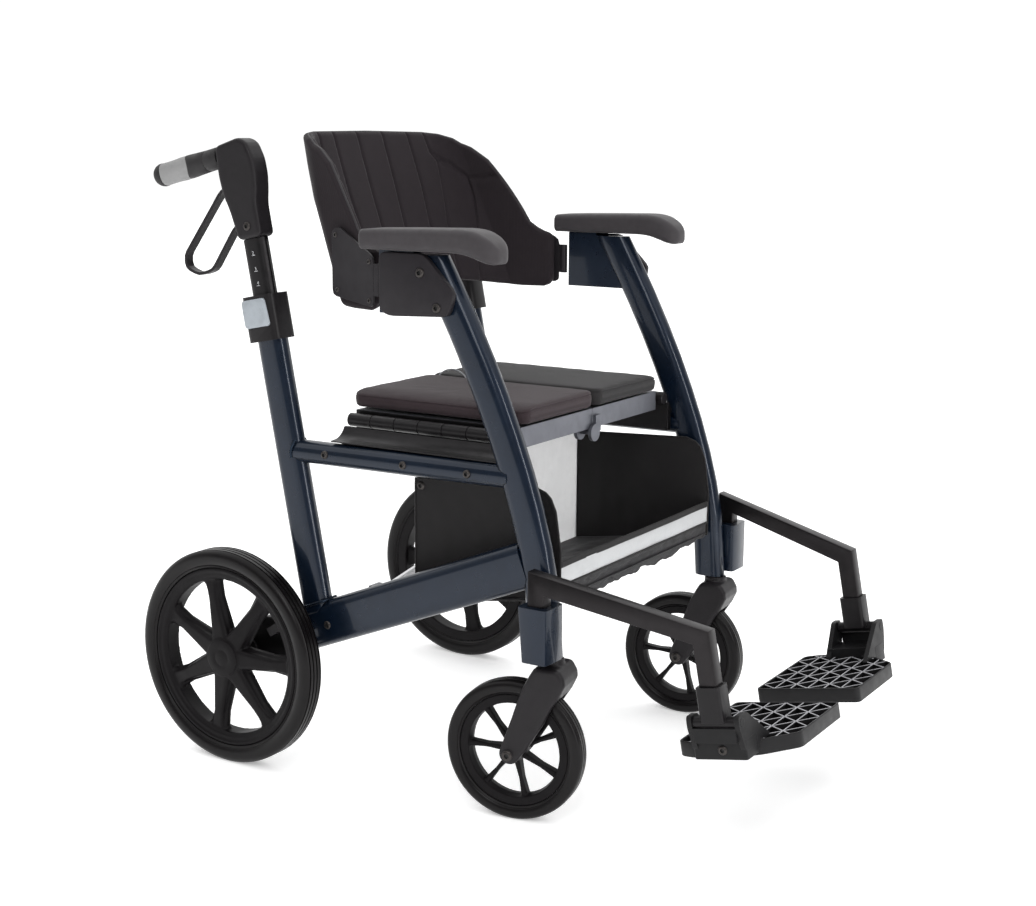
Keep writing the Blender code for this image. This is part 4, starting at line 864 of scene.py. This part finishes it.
# ---- bag and strap ----
def sheet_grid(bm, corner, columns, rows, inwards, thick=0.0012):
    """A thin closed sheet over a grid: corner(u, v) is its outer face, and inwards points through it."""
    outer, inner = ([
        [bm.verts.new(corner(i / columns, k / rows) + inwards * layer) for k in range(rows + 1)]
        for i in range(columns + 1)
    ] for layer in (0.0, thick))
    for grid in (outer, inner):
        for i in range(columns):
            for k in range(rows):
                bm.faces.new((grid[i][k], grid[i + 1][k], grid[i + 1][k + 1], grid[i][k + 1]))
    edge = [(i, 0) for i in range(columns)] + [(columns, k) for k in range(rows)]
    edge += [(i, rows) for i in range(columns, 0, -1)] + [(0, k) for k in range(rows, 0, -1)]
    for (i, k), (m, n) in pairs(edge):
        bm.faces.new((outer[i][k], outer[m][n], inner[m][n], inner[i][k]))


BAG_REAR, BAG_LOW = 0.268, 0.2575  # the bag's lower rear edge
BAG_RISE = 0.16  # how steeply its floor rises towards the front
SIDE_TOP = mm((268, 430), (460, 439), (480, 432), (493, 404), (499, 345))
SIDE_RIVETS = mm((217.2, 277.5, 420.5), (215, 486, 306))


def bag_side(label, side):
    """Side panel: black nylon, drawn in a little between its fixings, bound along its edge."""
    def spot(u, v):
        ahead = 0.269 + (0.4975 - 0.269) * u
        low = BAG_LOW + BAG_RISE * (ahead - BAG_REAR)
        z = low + (between(SIDE_TOP, ahead) - low) * v
        slack = sin(pi * u) ** 0.7 * sin(pi * min(1.0, 0.12 + v * 0.88)) ** 0.8
        crease = ripple(ahead * 16 - z * 9, z * 14, side * 3.0)
        fine = ripple(ahead * 46, z * 40, side * 7.0)
        return place(side * (0.218 - slack * (0.01 + 0.0042 * crease + 0.0015 * fine)), ahead, z)

    bm = bmesh.new()
    sheet_grid(bm, spot, 70, 60, ACROSS * -side)
    panel = piece(f"bag_side_{label}", bm, "bag", "left_frame", sharp=0)
    edge = [spot(u / 30, 0) for u in range(31)] + [spot(1, v / 20) for v in range(1, 21)]
    edge += [spot(1 - u / 30, 1) for u in range(1, 31)] + [spot(0, 1 - v / 20) for v in range(1, 20)]
    bm = bmesh.new()
    cord_along(bm, [p - ACROSS * side * 0.0006 for p in edge], 0.0016, 8, closed=True)
    binding = piece(f"bag_binding_{label}", bm, "bag", "left_frame", sharp=0)
    spots = [(place(side * x, ahead, z), ACROSS * side) for x, ahead, z in SIDE_RIVETS]
    rivets = screws(f"bag_rivets_{label}", spots, "left_frame", 0.0062, 0.002)
    for obj in (panel, binding, rivets):
        fold(obj, *BAG_FOLD)
    return panel


def bag_panel(name, paint, corner, rows, inwards):
    """One cloth panel that hangs between the bag's sides."""
    bm = bmesh.new()
    sheet_grid(bm, corner, 90, rows, inwards)
    panel = piece(name, bm, paint, "left_frame", sharp=0)
    fold(panel, *BAG_FOLD)


def bag_trim(name, low, high):
    """A folded binding along the front strip."""
    def spot(u, v):
        x = -0.2175 + 0.435 * u
        return place(x, 0.4986 - 0.0012 * ripple(x * 14, 0.7, 6.0), low + (high - low) * v)

    bm = bmesh.new()
    sheet_grid(bm, spot, 90, 6, -FORWARD, 0.0024)
    trim = piece(name, bm, "bag", "left_frame", sharp=0)
    fold(trim, *BAG_FOLD)
    return trim


def bulge(u, v, across, along):
    """1 in the middle of a panel and 0 at its edges; the powers flatten the middle."""
    return sin(pi * u) ** across * sin(pi * v) ** along


def bag():
    """Open bag under the seat: two black sides, a silver rear, a mesh floor and a bound front strip."""
    def rear(u, v):
        beside_rail = 0.0026 * max(0.0, min(1.0, (v - 0.84) / 0.03))
        x = (0.432 - 2 * beside_rail) * (u - 0.5)
        crease = ripple(x * 13, v * 3.5, 4.0) + 0.4 * ripple(x * 40, v * 9, 2.0)
        return place(x, 0.269 + (0.007 + 0.0035 * crease) * bulge(u, v, 0.6, 0.7), 0.259 + 0.215 * v)

    def floor(u, v):
        x, ahead = -0.2155 + 0.431 * u, 0.2695 + 0.228 * v
        crease = ripple(x * 18, ahead * 22, 9.0) + 0.5 * ripple(x * 55, ahead * 60, 1.0)
        sag = (0.0055 - 0.004 * crease) * bulge(u, v, 0.5, 0.5)
        return place(x, ahead, 0.2588 + BAG_RISE * (ahead - BAG_REAR) - sag)

    def front(u, v):
        x = -0.216 + 0.432 * u
        slack = sin(pi * u) ** 0.5 * (1 - v) ** 0.8
        crease = ripple(x * 24, v * 2.0, 11.0) + 0.5 * ripple(x * 60, v * 5, 3.0)
        ahead = 0.4968 - 0.0022 * abs(crease) - 0.004 * slack
        return place(x, ahead, 0.2925 - 0.0095 * slack * (1 + crease) + 0.02 * v)

    def strip(u, v):
        x = -0.2165 + 0.433 * u
        return place(x, 0.4978 - 0.0012 * ripple(x * 14, v * 1.5, 6.0), 0.314 + 0.024 * v)

    sides = [bag_side(label, side) for label, side in SIDES.items()]
    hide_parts("bag")
    trims = [bag_trim("bag_band_top", 0.337, 0.345), bag_trim("bag_band_low", 0.3115, 0.3145)]
    bag_panel("bag_rear_panel", "bag_rear", rear, 50, FORWARD)
    bag_panel("bag_mesh_floor", "bag_floor", floor, 60, UP)
    bag_panel("bag_mesh_front", "bag_floor", front, 16, -FORWARD)
    bag_panel("bag_front_strip", "strip", strip, 12, -FORWARD)


def strap():
    """Corded pull loop between the cushions."""
    path = [place(0.00175, 0.18 + a, 0.512 + z * 1.03) for a, z in arc((0, 0), 0.0325, 0, 180, 64)]
    bm = bmesh.new()
    cord_along(bm, path, 0.0011, 12)
    loop = piece("pull_loop", bm, "webbing", "left_seat", ("pull_strap",), sharp=0)


# ---- footplates ----
PLATE = mm((32, -75), (206, -75), (214, -52), (209, 5), (197, 35), (164, 75), (32, 75))


def turn_sign(outline):
    """1 for an outline that runs anticlockwise, -1 for the other way."""
    turn = sum(a[0] * b[1] - b[0] * a[1] for a, b in pairs(outline))
    return 1 if turn > 0 else -1


def inset(outline, distance):
    """The outline moved inwards by a distance."""
    sign = turn_sign(outline)
    points = []
    for i, here in enumerate(outline):
        before, after = Vector(outline[i - 1]), Vector(outline[(i + 1) % len(outline)])
        here = Vector(here)
        one, two = (here - before).normalized(), (after - here).normalized()
        normal = (Vector((-one.y, one.x)) + Vector((-two.y, two.x))).normalized() * sign
        lean = max(0.5, normal.dot(Vector((-two.y, two.x)) * sign))
        points.append(tuple(here + normal * distance / lean))
    return points


def clip(start, end, outline):
    """The stretch of a line that lies inside a convex outline, or nothing."""
    low, high = 0.0, 1.0
    sign = turn_sign(outline)
    for a, b in pairs(outline):
        edge = Vector(b) - Vector(a)
        normal = Vector((-edge.y, edge.x)) * sign
        from_edge, speed = (start - Vector(a)).dot(normal), (end - start).dot(normal)
        if abs(speed) < 1e-12:
            if from_edge < 0:
                return None
            continue
        t = -from_edge / speed
        if speed > 0:
            low = max(low, t)
        else:
            high = min(high, t)
    return (start.lerp(end, low), start.lerp(end, high)) if high - low > 0.01 else None


def footplate(label, side):
    """Open tread plate: a rim wall, a thin floor, and a triangle lattice of ribs, with its hinge block."""
    body = f"{label}_footplate"
    at = on_foot(side, 0, 0, 0)
    across = ACROSS * side
    outer = round_corners(PLATE, 0.008, 5)
    wall = (  # how far in from the outline, and the height
        (0.003, -0.015), (0.003, -0.0004), (0.0022, 0.0), (0.0008, 0.0), (0.0, -0.0009), (0.0, -0.0188),
        (0.001, -0.02),
    )
    bm = bmesh.new()
    loft(bm, [ring(inset(outer, inwards), at + FOOT_UP * up, across, FOOT_FORWARD) for inwards, up in wall])
    block = round_corners(mm((198, -36), (240, -36), (240, 36), (204, 36)), 0.003, 3)
    slab(bm, block, -0.013, 0.0116, at, across, FOOT_FORWARD, FOOT_UP)
    for start, end, low, high in ((166, 225, 0.0292, 0.0358), (190, 229, -0.0358, -0.0292)):
        gusset = mm((start, -2), (240, -2), (249, 30), (248, 44), (end, 44))
        slab(bm, round_corners(gusset, 0.005, 4), low, high, at, across, FOOT_UP, FOOT_FORWARD)
    cover = mm((245.5, 10), (248.5, 10), (248.5, 28.5), (245.5, 28.5))
    slab(bm, cover, -0.0292, 0.0292, at, across, FOOT_UP, FOOT_FORWARD)
    pin = [on_foot(side, 0.2395, forward, 0.034) for forward in (-0.0362, 0.0362)]
    rod(bm, *pin, 0.0056)
    piece(f"footplate_{label}_body", bm, "tread", body, (f"footplate_{label}",), sharp=40)

    # the ribs' thin top layer takes the light grey paint: a painted highlight, partly wear
    layers = (("ribs", "tread", -0.0145, -0.0008), ("rib_tops", "rib", -0.0008, -0.0004))
    for name, paint, low, high in layers:
        bm = bmesh.new()
        for a, b in lattice():
            along = (b - a).normalized()
            half = Vector((-along.y, along.x)) * 0.0009
            section = [tuple(p) for p in (a + half, a - half, b - half, b + half)]
            slab(bm, section, low, high, at, across, FOOT_FORWARD, FOOT_UP)
        piece(f"footplate_{label}_{name}", bm, paint, body, sharp=30)
    screws(f"footplate_screw_{label}", [(on_foot(side, 0.24, 0.004, -0.001), across)], body, 0.0062, 0.0022)


def lattice():
    """Rib centre lines of a triangle grid: one family across the plate and two slanting ones."""
    wide, deep = 0.041, 0.0244  # one triangle's width and depth
    window = inset(PLATE, 0.002)
    node = Vector((0.118, 0.0))
    slope = atan2(deep, wide / 2)
    lines = []
    for angle, pitch in ((0.0, deep), (slope, wide * sin(slope)), (-slope, wide * sin(slope))):
        along = Vector((cos(angle), sin(angle)))
        square = Vector((-along.y, along.x))
        for k in range(-9, 10):
            middle = node + square * (k * pitch)
            found = clip(middle - along * 0.3, middle + along * 0.3, window)
            if found:
                lines.append(found)
    return lines


# ---- small parts ----
HINGE_SPANS = {  # mm ahead of the rear axle, in turn on the seat and on the fixed rail
    "seat": ((190, 228.9), (269.3, 308.2), (348.6, 387.5)),
    "frame": ((150.4, 189.2), (229.7, 268.5), (309, 347.8), (388.3, 427.1)),
}
HINGE_X, HINGE_Z = 0.205, 0.4975


def seat_hinge(label, side):
    """Rounded barrels of the seat's side hinge."""
    for body, spans in HINGE_SPANS.items():
        bm = bmesh.new()
        for start, end in spans:
            profile = mm((0.1, start), (8.5, start), (9.3, start + 0.8))
            profile += mm((9.3, end - 0.8), (8.5, end), (0.1, end))
            turned(bm, profile, place(side * HINGE_X, 0, HINGE_Z), FORWARD, 32)
        piece(f"{body}_barrels_{label}", bm, "collar", f"{label}_{body}", sharp=40)


def seat_rail(label, side):
    """Extrusion on the side rail: a foot, and a lip that sweeps up from the rail to the hinge barrels."""
    lip = arc((0.244, 0.501), 0.0268, 257, 206, 10)
    outline = mm((216.5, 446.5), (226.2, 446.5), (226.2, 472.2), (250, 472.2), (250, 473.8)) + lip
    outline += mm((216.5, 490))
    bm = bmesh.new()
    slab(bm, outline, 0.15, 0.4275, place(0, 0, 0), ACROSS * side, UP, FORWARD)
    piece(f"seat_rail_{label}", bm, "alloy", f"{label}_frame", (f"seat_hinge_rail_{label}",), sharp=30)


def frame_fixings(label, side):
    """Screws, bolts and rivets of one side."""
    out = ACROSS * side
    rows = (  # name, radius, height, and each one's (x, ahead, z)
        ("rail_screws", 0.0056, 0.003, mm((258.7, 146, 455), (258.7, 277.5, 455), (258.7, 380, 455))),
        ("lower_bolt", 0.0058, 0.0026, mm((257.3, 145, 213))),
        ("cover_screws", 0.0064, 0.003, mm((266.6, 313, 712), (266.6, 339, 668))),
    )
    for name, radius, height, spots in rows:
        spots = [(place(side * x, ahead, z), out) for x, ahead, z in spots]
        screws(f"{name}_{label}", spots, f"{label}_frame", radius, height)
    head = (on_post(side, -0.0015, 0.166, 0.0156), out)
    screws(f"head_screw_{label}", [head], f"{label}_handle", 0.006, 0.0024)
    toe = atan(WING_TOE)
    plate_out = Vector((side * cos(toe), sin(toe), 0))
    along = Vector((side * sin(toe), -cos(toe), 0))
    spots = []
    for ahead, z in mm((142, 752), (212, 720), (145, 678), (212, 668)):
        spot = place(side * PIN_X, PIN_AHEAD, z) + along * (ahead - PIN_AHEAD) / cos(toe)
        spots.append((spot + plate_out * 0.0057, plate_out))
    screws(f"plate_rivets_{label}", spots, f"{label}_back_plate", 0.0036, 0.0016)


def weld(bm, points, radius):
    """A bead of overlapping ripples along a closed path."""
    path = []
    for a, b in pairs(points):
        path += [a.lerp(b, k / 3) for k in range(3)]

    def swell(i, spot):
        return 1 + 0.22 * sin(i * 1.7) + 0.15 * noise.noise(spot * 300)

    cord_along(bm, path, radius, 8, closed=True, swell=swell)


def frame_welds(label, side):
    """Beads round the side rail's rear end and round the post's foot."""
    bm = bmesh.new()
    rail_end = [place(side * FRAME_X + x, 0.087 + 0.19 * z, 0.455 + z) for x, z in circle(0.0163, 40)]
    weld(bm, rail_end, 0.0025)
    foot = []
    for back, x in circle(1.0, 56):
        back = max(-0.0232, min(0.0232, 0.03 * back))
        x = max(-0.0146, min(0.0146, 0.02 * x))
        foot.append(place(side * (FRAME_X + x), 0.116 - back, 0.2375 - 0.4 * back))
    weld(bm, foot, 0.0022)
    piece(f"weld_beads_{label}", bm, "weld", f"{label}_frame", sharp=0)


def scale_marks(label, side):
    """Plain height numbers and ticks on the telescoping tube's outer face."""
    for number, up in (("2", 0.127), ("3", 0.105), ("4", 0.085)):
        curve = bpy.data.curves.new(f"number_{number}_{label}", "FONT")
        curve.body = number
        curve.size = 0.0066
        curve.align_x = "CENTER"
        curve.extrude = 0.00008
        made = add_object(curve.name, curve)
        graph = bpy.context.evaluated_depsgraph_get()
        bm = bmesh.new()
        bm.from_mesh(made.evaluated_get(graph).to_mesh())
        bpy.data.objects.remove(made, do_unlink=True)
        turn = Matrix((POST_BACK * side, POST_UP, ACROSS * side)).transposed().to_4x4()
        turn.translation = on_post(side, 0.0, up, 0.011)
        bmesh.ops.transform(bm, matrix=turn, verts=bm.verts)
        tick = mm((-3, -1.6), (3, -1.6), (3, -1), (-3, -1))
        at = on_post(side, 0, up)
        slab(bm, tick, side * 0.0109, side * 0.0111, at, POST_BACK, POST_UP, ACROSS)
        piece(f"scale_{number}_{label}", bm, "ink", f"{label}_handle", sharp=0)


# ---- room ----
def light(name, at, size, power, towards):
    lamp = bpy.data.lights.new(name, "AREA")
    lamp.shape = "RECTANGLE"
    lamp.size, lamp.size_y = size
    lamp.energy = power
    obj = add_object(name, lamp)
    obj.location = at
    obj.rotation_euler = (Vector(towards) - Vector(at)).to_track_quat("-Z", "Y").to_euler()


def studio():
    """Pale floor, white surround, two soft lights beside the chair and a wide one overhead."""
    bm = bmesh.new()
    slab(bm, [(-14, -14), (14, -14), (14, 14), (-14, 14)], -0.02, 0.0, Vector(), ACROSS, -FORWARD, UP)
    mesh = bpy.data.meshes.new("floor")
    bm.to_mesh(mesh)
    bm.free()
    paint = Look("pale_floor", (0.97, 0.97, 0.97), 0.85, Specular_IOR_Level=0.2, Emission_Strength=0.32)
    paint.mottle(0.6, 0.01).grain(0.004, 0.00002)
    mesh.materials.append(paint.done())
    floor = add_object("floor", mesh)
    world = bpy.data.worlds.new("surround")
    bpy.context.scene.world = world
    world.use_nodes = True
    surround(world.node_tree)
    light("key", (-2.6, -1.2, 2.3), (0.9, 1.6), 24, (0, 0, 0.5))
    light("strip", (-0.9, -3.0, 1.2), (0.35, 2.0), 30, (0, 0, 0.5))
    overhead = bpy.data.lights.new("overhead", "SUN")
    overhead.energy = 2.0
    overhead.angle = radians(120)
    add_object("overhead", overhead)
    bpy.context.scene.view_settings.view_transform = "Standard"


def surround(tree):
    """Light from all round, dimmer from the side that the chair faces; the camera sees it as white."""
    towards = {0: add_node(tree, "ShaderNodeTexCoord", {})["Generated"], 1: (0.847, 0.531, 0.0)}
    share = add_node(tree, "ShaderNodeVectorMath", towards, operation="DOT_PRODUCT")["Value"]
    limits = {"From Min": -0.5, "From Max": 0.6, "To Min": 0.12, "To Max": 1.06}
    level = add_node(tree, "ShaderNodeMapRange", {**limits, "Value": share})["Result"]
    seen = add_node(tree, "ShaderNodeLightPath", {})["Is Camera Ray"]
    level = add_node(tree, "ShaderNodeMath", {0: level, 1: seen}, operation="MAXIMUM")["Value"]
    back = tree.nodes["Background"].inputs
    back["Color"].default_value = (1.0, 1.0, 1.0, 1.0)
    tree.links.new(level, back["Strength"])


def camera():
    """The viewpoint: in front and to the sitter's right, a little above the chair."""
    azimuth, elevation, roll = -1.0106, 0.1906, 0.0057
    lens = bpy.data.cameras.new("camera")
    lens.sensor_width = 36.0
    lens.lens = 57.85
    right = Vector((cos(azimuth), sin(azimuth), 0))
    level = Vector((-sin(azimuth), cos(azimuth), 0))
    ahead = level * cos(elevation) - UP * sin(elevation)
    up = right.cross(ahead)
    first = right * cos(roll) + up * sin(roll)
    second = up * cos(roll) - right * sin(roll)
    turn = Matrix((first, second, -ahead)).transposed().to_4x4()
    turn.translation = (-2.011, -1.2295, 0.8904)
    obj = add_object("camera", lens)
    obj.matrix_world = turn
    bpy.context.scene.camera = obj


def main():
    for label, side in SIDES.items():
        for paint, nodes in KEPT.items():
            for node in nodes:
                dress(f"{node}_{label}", paint)
        dress(f"seat_frame_{label}", "seat_alloy", "alloy", SEAT_ALLOY_HALF)
        for node, (paint, body, voxel, rounds) in MOULDED.items():
            moulded_copy(f"{node}_{label}", paint, f"{label}_{body}", voxel, rounds)
        for build in (rear_wheel, caster_wheel, cushion, armrest, grip, height_button, footplate,
                      seat_hinge, seat_rail, frame_fixings, frame_welds, scale_marks):
            build(label, side)
    backrest()
    bag()
    strap()
    studio()
    camera()


main()
